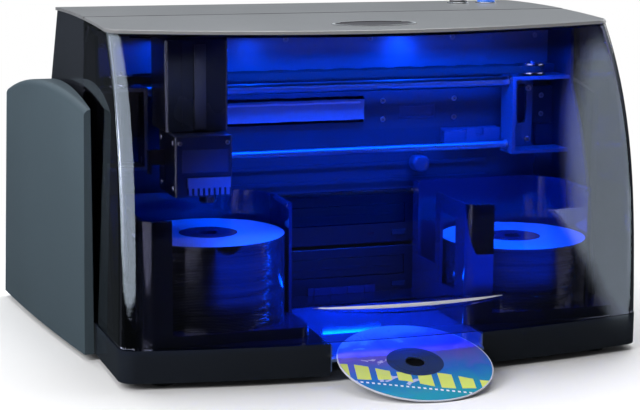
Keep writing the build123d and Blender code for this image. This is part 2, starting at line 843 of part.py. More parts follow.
def belt_loop(x0, x1, y, z, radius, thick, width):
    """Flat belt in a horizontal plane around two pulleys."""
    outer = SlotCenterToCenter(x1 - x0, 2 * (radius + thick))
    inner = SlotCenterToCenter(x1 - x0, 2 * radius)
    return Pos((x0 + x1) / 2, y, z) * extrude(outer - inner, width)


def main_board():
    """Circuit board over the drives, with its chips and connectors."""
    board = box(-70, 70, 120, 240, 122, 123.6)
    board += box(-43, -17, 137, 163, 123.6, 125.6) + box(11, 29, 161, 179, 123.6, 125.6)
    board += box(30, 60, 210, 220, 123.6, 132.6) + box(-57, -33, 215, 225, 123.6, 132.6)
    for x in (-62, 62):
        for y in (128, 232):
            board += rod_z(6, x, y, drive_z[1] + drive_h + seat_gap + 2, 122)
    return board


# ---- side frames ----


def side_frame(s):
    """Inner cheek: steel plate with a slanted front edge, which carries rails, shaft and hinge."""
    outline = [
        (-6, base_h), (8, 111), (27, 164), (47, 200), (49, frame_top_z), (hinge_y - 8, frame_top_z),
        (hinge_y, hinge_z + ear_r), (hinge_y + ear_r, hinge_z), (hinge_y + ear_r, hinge_z - turn_r - 1),
        (housing_y, hinge_z - turn_r - 1), (housing_y, frame_top_z), (190, frame_top_z),
        (222, 186), (222, rib_h), (fascia_y + 8, rib_h), (fascia_y + 8, base_h),
    ]
    inner = s * (frame_x - frame_t)
    plate = polygon_x(outline, min(inner, s * frame_x), max(inner, s * frame_x))
    plate += rod_x(2 * ear_r, min(inner, s * frame_x), max(inner, s * frame_x), hinge_y, hinge_z)
    plate -= rod_x(hinge_pin_d, -far, far, hinge_y, hinge_z)
    plate -= rod_x(shaft_d, -far, far, shaft_y, shaft_z)
    plate -= box(-far, far, 110, 200, 60, 130)
    return plate


def bracket(s, wall_x):
    """Folded bracket that joins the rails' ends to a side frame and carries a pulley."""
    half = s * (frame_x - frame_t)
    top_z = pulley_z - 3
    upright = box(*sorted((wall_x, wall_x + s * bracket_t)), 49, 73, 142, top_z)
    top = box(*sorted((wall_x, half)), 49, 76, top_z - bracket_t, top_z)
    foot = box(*sorted((wall_x, half)), 49, 73, 142, 142 + bracket_t)
    shape = upright + top + foot
    for z, d in ((rail_top_z, rail_top_d), (rail_low_z, rail_low_d)):
        shape -= rod_x(d, wall_x - 10, wall_x + 10, rail_y, z)
    return shape


def bracket_right():
    shape = bracket(1, rail_end_right)
    face = box(rail_end_right + bracket_t, 178, 70, 73, 145, pulley_z - 3 - bracket_t)
    face -= Pos(168, 71, 182) * Rot(X=90) * extrude(SlotOverall(34, 8, rotation=90), 10, both=True)
    return shape + face + rod_z(4, pulley_x_right, rail_y, pulley_z - 3, pulley_z + belt_w + 3)


def bracket_left():
    shape = bracket(-1, -rail_end_left)
    return shape - rod_z(12, pulley_x_left, rail_y, 200, 230)


def rail(d, z):
    return rod_x(d, -rail_end_left - bracket_t, rail_end_right + bracket_t, rail_y, z)


def rail_beam():
    """Folded steel channel behind the rails, between the side frames."""
    half = frame_x - frame_t
    beam = box(-half, half, 80, 92, 200, 214) - box(-half - 1, half + 1, 82, 93, 202, 212)
    return beam


def pulley(x, bore):
    """Toothed belt pulley with two flanges."""
    wheel = rod_z(2 * pulley_r - 0.4, x, rail_y, pulley_z, pulley_z + belt_w)
    for k in range(18):
        notch = extrude(Rectangle(1.2, 1.2), belt_w + 0.2)
        wheel -= Pos(x, rail_y, pulley_z - 0.1) * Rot(Z=20 * k) * Pos(pulley_r, 0, 0) * notch
    for z in (pulley_z - 1.2, pulley_z + belt_w + 0.2):
        wheel += rod_z(2 * pulley_r + 4, x, rail_y, z, z + 1.0)
    wheel += rod_z(2 * pulley_r - 3, x, rail_y, pulley_z - 1.2, pulley_z + belt_w + 1.2)
    return wheel - rod_z(bore, x, rail_y, 190, 240)


def picker_motor():
    """Stepper motor under the left bracket, its shaft standing up through the pulley."""
    top = pulley_z - 3 - bracket_t
    body = box(pulley_x_left - 14, pulley_x_left + 14, rail_y - 11, rail_y + 13, top - 36, top)
    body = fillet(body.edges().filter_by(Axis.Z), 3)
    return body + rod_z(4, pulley_x_left, rail_y, top, pulley_z + belt_w + 3)


# ---- picker ----


def picker_carriage():
    """Sliding block on both rails, with the belt clamp on top and the column's seat in front."""
    x = picker_x
    block = box(x - 20, x + 12, 50, 70, 143, 207)
    block -= box(x - 21, x + 13, 58, 71, 162, 190)
    block -= rod_x(rail_low_d + 2 * rail_gap, x - 30, x + 30, rail_y, rail_low_z)
    block -= rod_x(bushing_d, x - 30, x + 30, rail_y, rail_top_z)
    seat = box(x - 24, x + 12, column_y1, 50, 186, 207)
    belt_y = rail_y - pulley_r - belt_t / 2
    clamp = box(x - 8, x + 8, belt_y - 4, belt_y + 4, 207, pulley_z + belt_w + 4)
    clamp -= box(
        x - 9, x + 9, belt_y - belt_t / 2 - seat_gap, belt_y + belt_t / 2 + seat_gap,
        pulley_z - seat_gap, pulley_z + belt_w + seat_gap,
    )
    return block + seat + clamp


def rail_bushings():
    """Two bronze sleeves in the carriage, running on the upper rail."""
    rings = []
    for x0 in (picker_x - 20, picker_x + 4):
        ring = rod_x(bushing_d, x0, x0 + 8, rail_y, rail_top_z)
        rings.append(ring - rod_x(rail_top_d + 2 * rail_gap, x0 - 1, x0 + 9, rail_y, rail_top_z))
    return group(rings)


def picker_column():
    """Tall moulded housing of the lifting gear, with a raised rib down its front."""
    x = picker_x
    shell = box(x - column_left, x + column_right, column_y0, column_y1, column_z0, column_z1)
    shell = fillet(shell.edges().filter_by(Axis.Z), 3)
    shell = fillet(shell.edges().group_by(Axis.Z)[-1], 1.5)
    w = 2.0
    shell -= box(
        x - column_left + w, x + column_right - w, column_y0 + w, column_y1 - w, column_z0 + w, column_z1 - w
    )
    shell += box(x - 12, x - 2, column_y0 - 1.5, column_y0, column_z0 + 1, column_z1 - 3)
    shell += box(x - 21, x - 19.5, column_y0 - 1, column_y0, column_z0 + 1, column_z1 - 3)
    for dx, y in rod_places:
        shell -= rod_z(lift_rod_d + 2 * rail_gap, x + dx, y, column_z0 - 1, column_z0 + w + 1)
    dx, y = screw_place
    shell -= rod_z(lift_screw_d + 1, x + dx, y, column_z0 - 1, column_z0 + w + 1)
    shell += rod_z(lift_screw_d + 6, x + dx, y, column_z1 - 8, column_z1 - w)
    shell -= rod_z(lift_screw_d + 2 * rail_gap, x + dx, y, column_z1 - 8.5, column_z1 - w - 1)
    return shell


def lift_screw():
    """Lead screw that raises and lowers the head, with a drive gear near its top."""
    dx, y = screw_place
    screw = rod_z(lift_screw_d, picker_x + dx, y, head_z0 + 5, column_z1 - 3.2)
    gear = rod_z(12, picker_x + dx, y, 228, 233)
    for k in range(16):
        gear -= Pos(picker_x + dx, y, 228) * Rot(Z=22.5 * k) * Pos(6, 0, 0) * extrude(Rectangle(1.6, 1.0), 5)
    return screw + gear


def picker_head():
    """Head's frame: floor plate, nut block for the screw and the lugs of the gripper."""
    x = picker_x
    w = head_wall
    plate = box(x - head_left + w, x + head_right - w, head_y0 + w, head_y1 - w, head_z0, head_z0 + 3)
    plate += box(x - head_left + w, x + head_right - w, 8, 25, head_z0 + 3, 172)
    for dx, y in rod_places:
        plate -= rod_z(lift_rod_d, x + dx, y, head_z0 + 3, 180)
    dx, y = screw_place
    plate -= rod_z(lift_screw_d + 2 * rail_gap, x + dx, y, head_z0 + 3, 180)
    plate -= box(x - 2.6, x + 2.6, -8.6, -1.2, head_z0 - 1, head_z0 + 4)
    for s in (-1, 1):
        plate += box(*sorted((x + s * 2.6, x + s * 5)), -9, -1, head_z0 + 3, head_z0 + 12)
    plate += rod_x(2, x - 5, x + 5, lever_y, lever_z)
    bracket_arm = box(x - head_left - 14, x - head_left + w, 10, 12, 152, 164)
    bracket_arm += box(x - head_left - 14, x - head_left - 12, 4, 12, 146, 164)
    return plate + bracket_arm + gripper_hub()


def head_cover():
    """Box-shaped cover over the head's frame, open underneath."""
    x = picker_x
    w = head_wall
    outer = box(x - head_left, x + head_right, head_y0, head_y1, head_z0, head_z1)
    outer = fillet(outer.edges().filter_by(Axis.Z), 2.0)
    outer = fillet(outer.edges().group_by(Axis.Z)[-1], 1.2)
    outer -= box(x - head_left + w, x + head_right - w, head_y0 + w, head_y1 - w, head_z0 - 1, head_z1 - w)
    for dx, y in rod_places:
        outer -= rod_z(lift_rod_d, x + dx, y, head_z1 - w - 1, head_z1 + 1)
    dx, y = screw_place
    outer -= rod_z(lift_screw_d + 2, x + dx, y, head_z1 - w - 1, head_z1 + 1)
    outer -= box(x - head_left - 1, x - head_left + w + 1, 9.8, 12.2, head_z0 - 1, 164.2)
    return outer


def guide_rods():
    """Two steel rods that stand on the head and slide in the column's floor."""
    rods = []
    for dx, y in rod_places:
        rods.append(rod_z(lift_rod_d, picker_x + dx, y, head_z0 + 3, 222))
    return group(rods)


def sensor_comb():
    """Pale strip with teeth along the lower edge of the head's front."""
    x0, x1 = picker_x - 22, picker_x + 12
    strip = box(x0, x1, head_y0 - 1.6, head_y0, head_z0 + 7, head_z0 + 15)
    teeth = 8
    pitch = (x1 - x0) / teeth
    for k in range(teeth):
        left = x0 + pitch * k + 0.8
        strip += box(left, left + pitch - 1.8, head_y0 - 1.6, head_y0, head_z0 + 1.5, head_z0 + 7)
    return strip


def gripper_hub():
    """Stepped boss that enters a disc's hole, with a slot for the moving finger."""
    hub = rod_z(gripper_d, picker_x, 0, head_z0 - gripper_drop, head_z0)
    hub = chamfer(hub.edges().group_by(Axis.Z)[0], 1.0)
    hub += rod_z(26, picker_x, 0, head_z0 - 2, head_z0)
    return hub - box(picker_x - 2.6, picker_x + 2.6, -20, -2.2, head_z0 - 20, head_z0 + 1)


def gripper_lever():
    """Finger that swings out under the disc's rim, on a small pin in the head."""
    x = picker_x
    lever = box(x - 2.2, x + 2.2, -6.4, -3.6, head_z0 - gripper_drop + 0.4, head_z0 + 11)
    return lever - rod_x(2.1, x - 5, x + 5, lever_y, lever_z)


# ---- rear fittings ----


def rear_panel():
    """Steel plate at the back: fan grille, power inlet and data port openings, vents."""
    m = seat_gap
    plate = box(-panel_half + m, panel_half - m, rear_y - panel_t, rear_y, panel_z0 + m, panel_z1 - m)
    for k in range(4):
        r_out = 27 - 6.4 * k
        ring = rod_y(2 * r_out, fan_x, rear_y - 5, rear_y + 5, fan_z)
        ring -= rod_y(2 * (r_out - 4.4), fan_x, rear_y - 6, rear_y + 6, fan_z)
        cross = Rot(Y=45) * Box(80, 20, 3) + Rot(Y=-45) * Box(80, 20, 3)
        plate -= ring - Pos(fan_x, rear_y, fan_z) * cross
    plate -= box(inlet_x - 14, inlet_x + 14, rear_y - 5, rear_y + 5, inlet_z - 10.5, inlet_z + 10.5)
    plate -= box(port_x - 6.2, port_x + 6.2, rear_y - 5, rear_y + 5, inlet_z - 5.7, inlet_z + 5.7)
    for k in range(9):
        x = -40 + 10 * k
        plate -= box(x - 2, x + 2, rear_y - 5, rear_y + 5, 84, 124)
    for x, z in panel_screws:
        plate -= rod_y(screw_d + 0.6, x, rear_y - 5, rear_y + 5, z)
    return plate


def power_inlet():
    """Mains inlet: flanged body with a recess and three blades."""
    y = rear_y
    body = box(inlet_x - 13.8, inlet_x + 13.8, y - 20, y, inlet_z - 10.3, inlet_z + 10.3)
    body += box(inlet_x - 17, inlet_x + 17, y, y + 1.5, inlet_z - 13, inlet_z + 13)
    body -= box(inlet_x - 11.5, inlet_x + 11.5, y - 16, y + 2, inlet_z - 7.5, inlet_z + 7.5)
    for dx, dz in ((-7, -2), (7, -2), (0, 2)):
        body += box(inlet_x + dx - 1, inlet_x + dx + 1, y - 16, y - 7, inlet_z + dz - 2, inlet_z + dz + 2)
    return body


def data_port():
    """Square data socket."""
    y = rear_y
    shell = box(port_x - 6, port_x + 6, y - 16, y, inlet_z - 5.5, inlet_z + 5.5)
    shell -= box(port_x - 4.5, port_x + 4.5, y - 12, y + 1, inlet_z - 4, inlet_z + 4)
    return shell + box(port_x - 2.6, port_x + 2.6, y - 12, y - 6, inlet_z - 1.2, inlet_z + 1.2)


def panel_screw_set():
    """Four dome-headed screws that hold the rear panel."""
    screws = []
    for x, z in panel_screws:
        head = rod_y(6, x, rear_y, rear_y + 1.8, z)
        head = fillet(head.edges().group_by(Axis.Y)[-1], 0.8)
        head -= Pos(x, rear_y + 1.8, z) * (Box(3.2, 1.6, 0.8) + Box(0.8, 1.6, 3.2))
        screws.append(head + rod_y(screw_d, x, rear_y - 7, rear_y, z))
    return group(screws)


def fan_frame():
    """Square fan housing with a round duct and the spider that holds the rotor."""
    y1 = rear_y - panel_t
    y0 = y1 - fan_t
    half = fan_size / 2
    frame = box(fan_x - half, fan_x + half, y0, y1, fan_z - half, fan_z + half)
    frame = fillet(frame.edges().filter_by(Axis.Y), 4)
    frame -= rod_y(fan_size - 4, fan_x, y0 - 1, y1 + 1, fan_z)
    spider = rod_y(24, fan_x, y0, y0 + 2, fan_z)
    for angle in (45, 135):
        spider += Pos(fan_x, y0 + 1, fan_z) * Rot(Y=angle) * Box(fan_size - 2, 2, 4)
    frame += spider & rod_y(fan_size - 3, fan_x, y0, y0 + 2, fan_z)
    for dx in (-25, 25):
        for dz in (-25, 25):
            frame -= rod_y(4, fan_x + dx, y0 - 1, y1 + 1, fan_z + dz)
    return frame + rod_y(3, fan_x, y0 + 2, y0 + 10, fan_z)


def fan_rotor():
    """Rotor with seven pitched blades, on the pin of the frame."""
    y0 = rear_y - panel_t - fan_t
    hub = rod_y(24, fan_x, y0 + 2.6, y0 + 13.4, fan_z)
    ring = rod_y(fan_size - 7, fan_x, y0 + 3, y0 + 13, fan_z)
    for k in range(7):
        blade = Rot(Y=360 / 7 * k) * Pos(18, 0, 0) * Rot(X=38) * Box(20, 1.4, 15)
        hub += (Pos(fan_x, y0 + 8, fan_z) * blade) & ring
    return hub - rod_y(3.1, fan_x, y0 + 1, y0 + 10.4, fan_z)


def led_bar(x0, x1, y0, y1, z0, z1, count):
    """Narrow board with a row of small lamps."""
    bar = box(x0, x1, y0, y1, z0, z1)
    pitch = (x1 - x0) / count
    return bar, [x0 + pitch * (k + 0.5) for k in range(count)]


def led_bar_top():
    """Lamp board at the top of the upper panel, its lamps facing down."""
    bar, places = led_bar(-90, 150, 86, 94, 246, 247.6, 8)
    for x in places:
        bar += box(x - 2.5, x + 2.5, 87.5, 92.5, 244.4, 246)
    return bar


def led_bar_chute():
    """Lamp board on the deck behind the chute, its lamps facing forwards."""
    bar, places = led_bar(front_x - 30, front_x + 30, 71.4, 73, base_h, base_h + 6, 4)
    for x in places:
        bar += box(x - 2.5, x + 2.5, 69.8, 71.4, base_h + 0.5, base_h + 5.5)
    return bar


def home_sensor():
    """Stepped block on the panel at the right end of the picker's travel."""
    block = box(98, 122, 73, fascia_y - 2, 150, 160) + box(118, 149, 71.5, fascia_y - 2, 150, 162)
    block += box(98, 149, fascia_y - 2, fascia_y, 150, chassis_z - 1)
    return block - box(126, 134, 66, 76, 156, 180)


def tray_sensor():
    """Small round-nosed sensor above the drives."""
    nose = rod_y(15, 76, 68, fascia_y - 2, 134)
    nose = fillet(nose.edges().group_by(Axis.Y)[0], 3)
    return nose - box(60, 90, 60, 90, 134 + 5.5, 150)


def main():
    os.makedirs("parts", exist_ok=True)
    fairing = side_fairing()
    pieces = {
        "base_pan": base_pan(),
        "rubber_feet": rubber_feet(),
        "deck": deck(),
        "output_chute": output_chute(),
        "front_cover": front_cover(),
        "cover_top_panel": cover_top_panel(),
        "badge_plate": badge_plate(),
        "hinge_pins": hinge_pins(),
        "rear_housing": rear_housing(),
        "rear_top_panel": rear_top_panel(),
        "circuit_boards": group([switch_board(), main_board()]),
        "fairing_right": fairing,
        "fairing_left": mirrored(fairing),
        "bin_left": disc_bin(-bin_x),
        "bin_right": disc_bin(bin_x),
        "disc_stack_left": disc_stack(-bin_x, stack_count_left),
        "disc_stack_right": disc_stack(bin_x, stack_count_right),
        "output_disc": output_disc(),
        "drive_cage": drive_cage(),
        "drive_bodies": group([drive_body(z) for z in drive_z]),
        "drive_bezels": group([drive_bezel(z) for z in drive_z]),
        "inner_fascia": inner_fascia(),
        "upper_fascia": upper_fascia(),
        "printer_chassis": printer_chassis(),
        "printer_tray": printer_tray(),
        "carriage_guides": group([carriage_shaft(), rear_guide()]),
        "print_carriage": print_carriage(),
        "ink_cartridge": ink_cartridge(),
        "side_frame_left": side_frame(-1),
        "side_frame_right": side_frame(1),
        "bracket_left": bracket_left(),
        "bracket_right": bracket_right(),
        "picker_rails": group([rail(rail_top_d, rail_top_z), rail(rail_low_d, rail_low_z)]),
        "rail_beam": rail_beam(),
        "belt_pulley_left": pulley(pulley_x_left, 4.0 + 2 * rail_gap),
        "belt_pulley_right": pulley(pulley_x_right, 4.0 + 2 * rail_gap),
        "picker_belt": belt_loop(pulley_x_left, pulley_x_right, rail_y, pulley_z, pulley_r, belt_t, belt_w),
        "picker_motor": picker_motor(),
        "picker_carriage": picker_carriage(),
        "rail_bushings": rail_bushings(),
        "picker_column": picker_column(),
        "lift_screw": lift_screw(),
        "picker_head": picker_head(),
        "head_cover": head_cover(),
        "guide_rods": guide_rods(),
        "sensor_comb": sensor_comb(),
        "gripper_lever": gripper_lever(),
        "rear_panel": rear_panel(),
        "rear_ports": group([power_inlet(), data_port()]),
        "panel_screws": panel_screw_set(),
        "fan_frame": fan_frame(),
        "fan_rotor": fan_rotor(),
        "led_bars": group([led_bar_top(), led_bar_chute()]),
        "picker_sensors": group([home_sensor(), tray_sensor()]),
    }
    for name, x in zip(("power_button", "pause_button"), button_places):
        pieces[name] = push_button(x)
    for level, z in zip(("lower", "upper"), drive_z):
        pieces[f"drive_tray_{level}"] = drive_tray(z)
        pieces[f"eject_button_{level}"] = eject_button(z)
    for name, shape in pieces.items():
        save(name, shape)
    print(len(pieces), "pieces")


main()
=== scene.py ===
import math
import random

import bmesh
import bpy
from mathutils import Matrix, Vector


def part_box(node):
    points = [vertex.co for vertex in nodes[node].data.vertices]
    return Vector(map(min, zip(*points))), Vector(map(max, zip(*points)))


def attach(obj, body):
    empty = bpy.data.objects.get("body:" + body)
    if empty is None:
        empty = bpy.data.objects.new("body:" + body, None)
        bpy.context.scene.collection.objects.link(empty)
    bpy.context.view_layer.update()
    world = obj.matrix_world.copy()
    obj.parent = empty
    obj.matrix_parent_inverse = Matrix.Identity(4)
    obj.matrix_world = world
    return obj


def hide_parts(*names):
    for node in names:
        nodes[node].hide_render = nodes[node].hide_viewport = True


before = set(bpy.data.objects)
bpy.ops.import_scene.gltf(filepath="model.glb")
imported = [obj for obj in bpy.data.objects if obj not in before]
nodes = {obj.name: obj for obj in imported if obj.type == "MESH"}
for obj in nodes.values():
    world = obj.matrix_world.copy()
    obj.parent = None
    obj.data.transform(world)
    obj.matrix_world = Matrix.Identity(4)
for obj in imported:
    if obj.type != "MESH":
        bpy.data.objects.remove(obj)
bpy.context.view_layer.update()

# ---- camera ----
# It stands left of the printer, a little above the lid, and looks slightly down.
scene = bpy.context.scene
yaw, pitch, roll = math.radians(18.432), math.radians(10.075), math.radians(0.363)
stand = Vector((-0.49692, -1.43559, 0.37904))
ahead = Vector((
    math.sin(yaw) * math.cos(pitch), math.cos(yaw) * math.cos(pitch), -math.sin(pitch)
))
level = Vector((math.cos(yaw), -math.sin(yaw), 0))
right = level * math.cos(roll) + level.cross(ahead) * math.sin(roll)
up = right.cross(ahead)
camera = bpy.data.objects.new("camera", bpy.data.cameras.new("camera"))
scene.collection.objects.link(camera)
camera.matrix_world = Matrix((
    (right.x, up.x, -ahead.x, stand.x),
    (right.y, up.y, -ahead.y, stand.y),
    (right.z, up.z, -ahead.z, stand.z),
    (0, 0, 0, 1),
))
camera.data.lens = 104.14
camera.data.sensor_width = 36
scene.camera = camera
scene.view_settings.view_transform = "Standard"

# ---- studio ----
# A white room to the camera. Gloss reflects it dark, but pale overhead and behind, and
# only a mirror-sharp surface shows its two soft boxes: a tall one on the left and a low
# one on the right. Little of the room comes in through the cover.
left_glow, right_glow = 5.6, 2.7  # strengths of the two boxes, in the room and on the floor


def feed(socket, value):
    """Link an output to a socket, or set the socket to a plain value."""
    if isinstance(value, bpy.types.NodeSocket):
        socket.id_data.links.new(value, socket)
    else:
        socket.default_value = value


def reckon(tree, operation, *values, clamp=False):
    """A Math node."""
    made = tree.nodes.new("ShaderNodeMath")
    made.operation = operation
    made.use_clamp = clamp
    for socket, value in zip(made.inputs, values):
        feed(socket, value)
    return made.outputs[0]


def remap(tree, value, low, high, to_low=0.0, to_high=1.0):
    """A Map Range node, which takes low to to_low and high to to_high and stops there."""
    made = tree.nodes.new("ShaderNodeMapRange")
    feed(made.inputs["Value"], value)
    made.inputs["From Min"].default_value = low
    made.inputs["From Max"].default_value = high
    made.inputs["To Min"].default_value = to_low
    made.inputs["To Max"].default_value = to_high
    return made.outputs[0]


def blend(tree, share, first, second, kind="FLOAT"):
    """A Mix node for plain values, or for colours with kind RGBA."""
    made = tree.nodes.new("ShaderNodeMix")
    made.data_type = kind
    feed(made.inputs["Factor"], share)
    feed(made.inputs["A"], first)
    feed(made.inputs["B"], second)
    return made.outputs["Result"]


def seen_in_gloss(tree, seen):
    """Whether a ray was mirrored, and whether gloss sees it, the cover's inner side too."""
    mirrored = reckon(tree, "GREATER_THAN", seen["Glossy Depth"], 0.5)
    behind_skin = reckon(tree, "MULTIPLY", seen["Is Transmission Ray"], mirrored)
    return mirrored, reckon(tree, "MAXIMUM", seen["Is Glossy Ray"], behind_skin)


def gloss_hue(tree, any_gloss):
    """White, or a pale blue where gloss sees it."""
    return blend(tree, any_gloss, (1, 1, 1, 1), (0.74, 0.89, 1.0, 1), "RGBA")


world = bpy.data.worlds.new("studio")
scene.world = world
world.use_nodes = True
tree = world.node_tree
tree.nodes.clear()
seen = tree.nodes.new("ShaderNodeLightPath").outputs
axes = tree.nodes.new("ShaderNodeSeparateXYZ")
feed(axes.inputs[0], tree.nodes.new("ShaderNodeTexCoord").outputs["Generated"])
across, back, height = axes.outputs
left_box = reckon(tree, "MULTIPLY", remap(tree, across, -0.27, -0.40, 0, left_glow),
                  remap(tree, back, 0.90, 0.10))
both_boxes = reckon(tree, "MULTIPLY_ADD", remap(tree, across, 0.705, 0.745, 0, right_glow),
                    remap(tree, back, -0.10, -0.25), left_box)
sharp_only = reckon(tree, "MULTIPLY", both_boxes, seen["Is Singular Ray"])
overhead = reckon(tree, "MULTIPLY", remap(tree, height, 0.05, 0.75, 0.06, 0.80),
                  remap(tree, back, -0.05, 0.25))
in_gloss = reckon(tree, "ADD", sharp_only, overhead)
mirrored, any_gloss = seen_in_gloss(tree, seen)
room = blend(tree, any_gloss, remap(tree, back, -0.7, 0.5, 0.05, 0.65), in_gloss)
bounced = reckon(tree, "GREATER_THAN", seen["Diffuse Depth"], 0.5)
through = reckon(tree, "MULTIPLY", seen["Is Transmission Ray"], bounced)
dimmed = blend(tree, through, room, 0.02)
direct = reckon(tree, "SUBTRACT", seen["Is Transmission Ray"], bounced, clamp=True)
unmirrored = reckon(tree, "SUBTRACT", direct, mirrored, clamp=True)
plain = reckon(tree, "MAXIMUM", seen["Is Camera Ray"], unmirrored)
background = tree.nodes.new("ShaderNodeBackground")
feed(background.inputs["Color"], gloss_hue(tree, any_gloss))
feed(background.inputs["Strength"], blend(tree, plain, dimmed, 1.0))
output = tree.nodes.new("ShaderNodeOutputWorld")
feed(output.inputs[0], background.outputs[0])


def painted(name):
    """A new material, with its node tree and its shader."""
    material = bpy.data.materials.new(name)
    material.use_nodes = True
    return material, material.node_tree, material.node_tree.nodes["Principled BSDF"]


# The floor is pale and fades to white. Gloss sees it dark, with a bright card below each
# soft box, so that the boxes' reflections run on down the cover.
bpy.ops.object.select_all(action="DESELECT")
bpy.ops.mesh.primitive_plane_add(size=10)
floor = bpy.context.object
floor.name = "floor"
floor_paint, tree, shader = painted("floor_paint")
shader.inputs["Base Color"].default_value = (0.86, 0.86, 0.87, 1)
shader.inputs["Roughness"].default_value = 0.55
seen = tree.nodes.new("ShaderNodeLightPath").outputs
place = tree.nodes.new("ShaderNodeTexCoord").outputs["Object"]
flat = tree.nodes.new("ShaderNodeVectorMath")
flat.operation = "MULTIPLY"
flat.inputs[1].default_value = (1, 1.1, 0)
away = tree.nodes.new("ShaderNodeVectorMath")
away.operation = "LENGTH"
feed(flat.inputs[0], place)
feed(away.inputs[0], flat.outputs[0])
fade = remap(tree, away.outputs["Value"], 0.30, 0.72)
fade.node.interpolation_type = "SMOOTHSTEP"
axes = tree.nodes.new("ShaderNodeSeparateXYZ")
feed(axes.inputs[0], place)
across, back = axes.outputs["X"], axes.outputs["Y"]


def slanted(slant):
    """The place along x, measured on lines that lean back by a slant."""
    return reckon(tree, "MULTIPLY_ADD", back, slant, across)


right_card = reckon(tree, "MULTIPLY_ADD", remap(tree, slanted(0.9), 0.09, 0.13, 0, right_glow),
                    reckon(tree, "LESS_THAN", back, -0.2), 0.04)
cards = reckon(tree, "MULTIPLY_ADD", remap(tree, slanted(0.6), -0.62, -0.72, 0, left_glow),
               remap(tree, slanted(-0.33), -0.15, -0.25), right_card)
mirrored, any_gloss = seen_in_gloss(tree, seen)
white = tree.nodes.new("ShaderNodeEmission")
feed(white.inputs["Color"], gloss_hue(tree, any_gloss))
feed(white.inputs["Strength"], blend(tree, any_gloss, 1.0, cards))
sight = reckon(tree, "MAXIMUM", reckon(
    tree, "MAXIMUM", seen["Is Camera Ray"], seen["Is Glossy Ray"]), seen["Is Transmission Ray"])
first = reckon(tree, "MULTIPLY", sight, reckon(tree, "LESS_THAN", seen["Diffuse Depth"], 0.5))
share = reckon(tree, "MULTIPLY", reckon(tree, "MAXIMUM", fade, any_gloss), first)
both = tree.nodes.new("ShaderNodeMixShader")
for socket, value in zip(both.inputs, (share, shader.outputs[0], white.outputs[0])):
    feed(socket, value)
feed(tree.nodes["Material Output"].inputs["Surface"], both.outputs[0])
floor.data.materials.append(floor_paint)


def area_lamp(name, place, aim, size, watts, colour=(1, 1, 1), inside=False, glints=True):
    """A lamp aimed at a point. Inside the body it isn't seen, and may leave no glints."""
    lamp = bpy.data.lights.new(name, "AREA")
    lamp.shape = "RECTANGLE"
    lamp.size, lamp.size_y = size
    lamp.energy = watts
    lamp.color = colour
    made = bpy.data.objects.new(name, lamp)
    scene.collection.objects.link(made)
    made.location = place
    made.rotation_euler = (Vector(aim) - Vector(place)).to_track_quat("-Z", "Y").to_euler()
    made.visible_transmission = False
    if inside:
        made.visible_camera = False
        made.visible_glossy = glints
    return made


key = area_lamp("key_left", (-1.5, -0.5, 1.1), (-0.1, 0.0, 0.12), (0.5, 1.3), 24)
key.visible_glossy = False
area_lamp("top_soft", (0.1, 0.5, 1.9), (0.0, 0.05, 0.1), (1.6, 1.2), 34)
area_lamp("right_back", (1.5, 0.9, 1.0), (0.2, 0.0, 0.15), (0.9, 0.9), 7)

# ---- base tray ----
# Injection moulded in glossy dark ABS, with a fine grain and slightly uneven gloss.


def node_group(name, inputs, outputs):
    """A node group with its tree, what it is given and what it gives back."""
    made = bpy.data.node_groups.new(name, "ShaderNodeTree")
    for title, kind, value in inputs:
        socket = made.interface.new_socket(title, in_out="INPUT", socket_type=kind)
        socket.default_value = value
    for title, kind in outputs:
        made.interface.new_socket(title, in_out="OUTPUT", socket_type=kind)
    given = made.nodes.new("NodeGroupInput").outputs
    return made, given, made.nodes.new("NodeGroupOutput").inputs


def noise(tree, vector, scale, detail, distortion=0.0):
    made = tree.nodes.new("ShaderNodeTexNoise")
    for title, value in (("Vector", vector), ("Scale", scale), ("Detail", detail),
                         ("Distortion", distortion)):
        feed(made.inputs[title], value)
    return made.outputs["Fac"]


def relief(tree, height, strength, distance):
    made = tree.nodes.new("ShaderNodeBump")
    for title, value in (("Height", height), ("Strength", strength), ("Distance", distance)):
        feed(made.inputs[title], value)
    return made.outputs[0]


grain, given, result = node_group(
    "moulded_grain",
    (("Colour", "NodeSocketColor", (0.1, 0.1, 0.1, 1)),
     ("Gloss roughness", "NodeSocketFloat", 0.3),
     ("Unevenness", "NodeSocketFloat", 0.1),
     ("Grain size", "NodeSocketFloat", 900.0),
     ("Grain depth", "NodeSocketFloat", 0.1)),
    (("Colour", "NodeSocketColor"), ("Roughness", "NodeSocketFloat"),
     ("Normal", "NodeSocketVector")),
)
place = grain.nodes.new("ShaderNodeTexCoord").outputs["Object"]
clouds = noise(grain, place, 14, 5)
pores = noise(grain, place, given["Grain size"], 2)
shade = grain.nodes.new("ShaderNodeVectorMath")
shade.operation = "SCALE"
feed(shade.inputs[0], given["Colour"])
feed(shade.inputs["Scale"], remap(grain, clouds, 0, 1, 0.90, 1.10))
feed(result["Colour"], shade.outputs[0])
feed(result["Roughness"], reckon(
    grain, "MULTIPLY_ADD", reckon(grain, "SUBTRACT", clouds, 0.5), given["Unevenness"],
    given["Gloss roughness"]))
feed(result["Normal"], relief(grain, pores, given["Grain depth"], 0.0004))


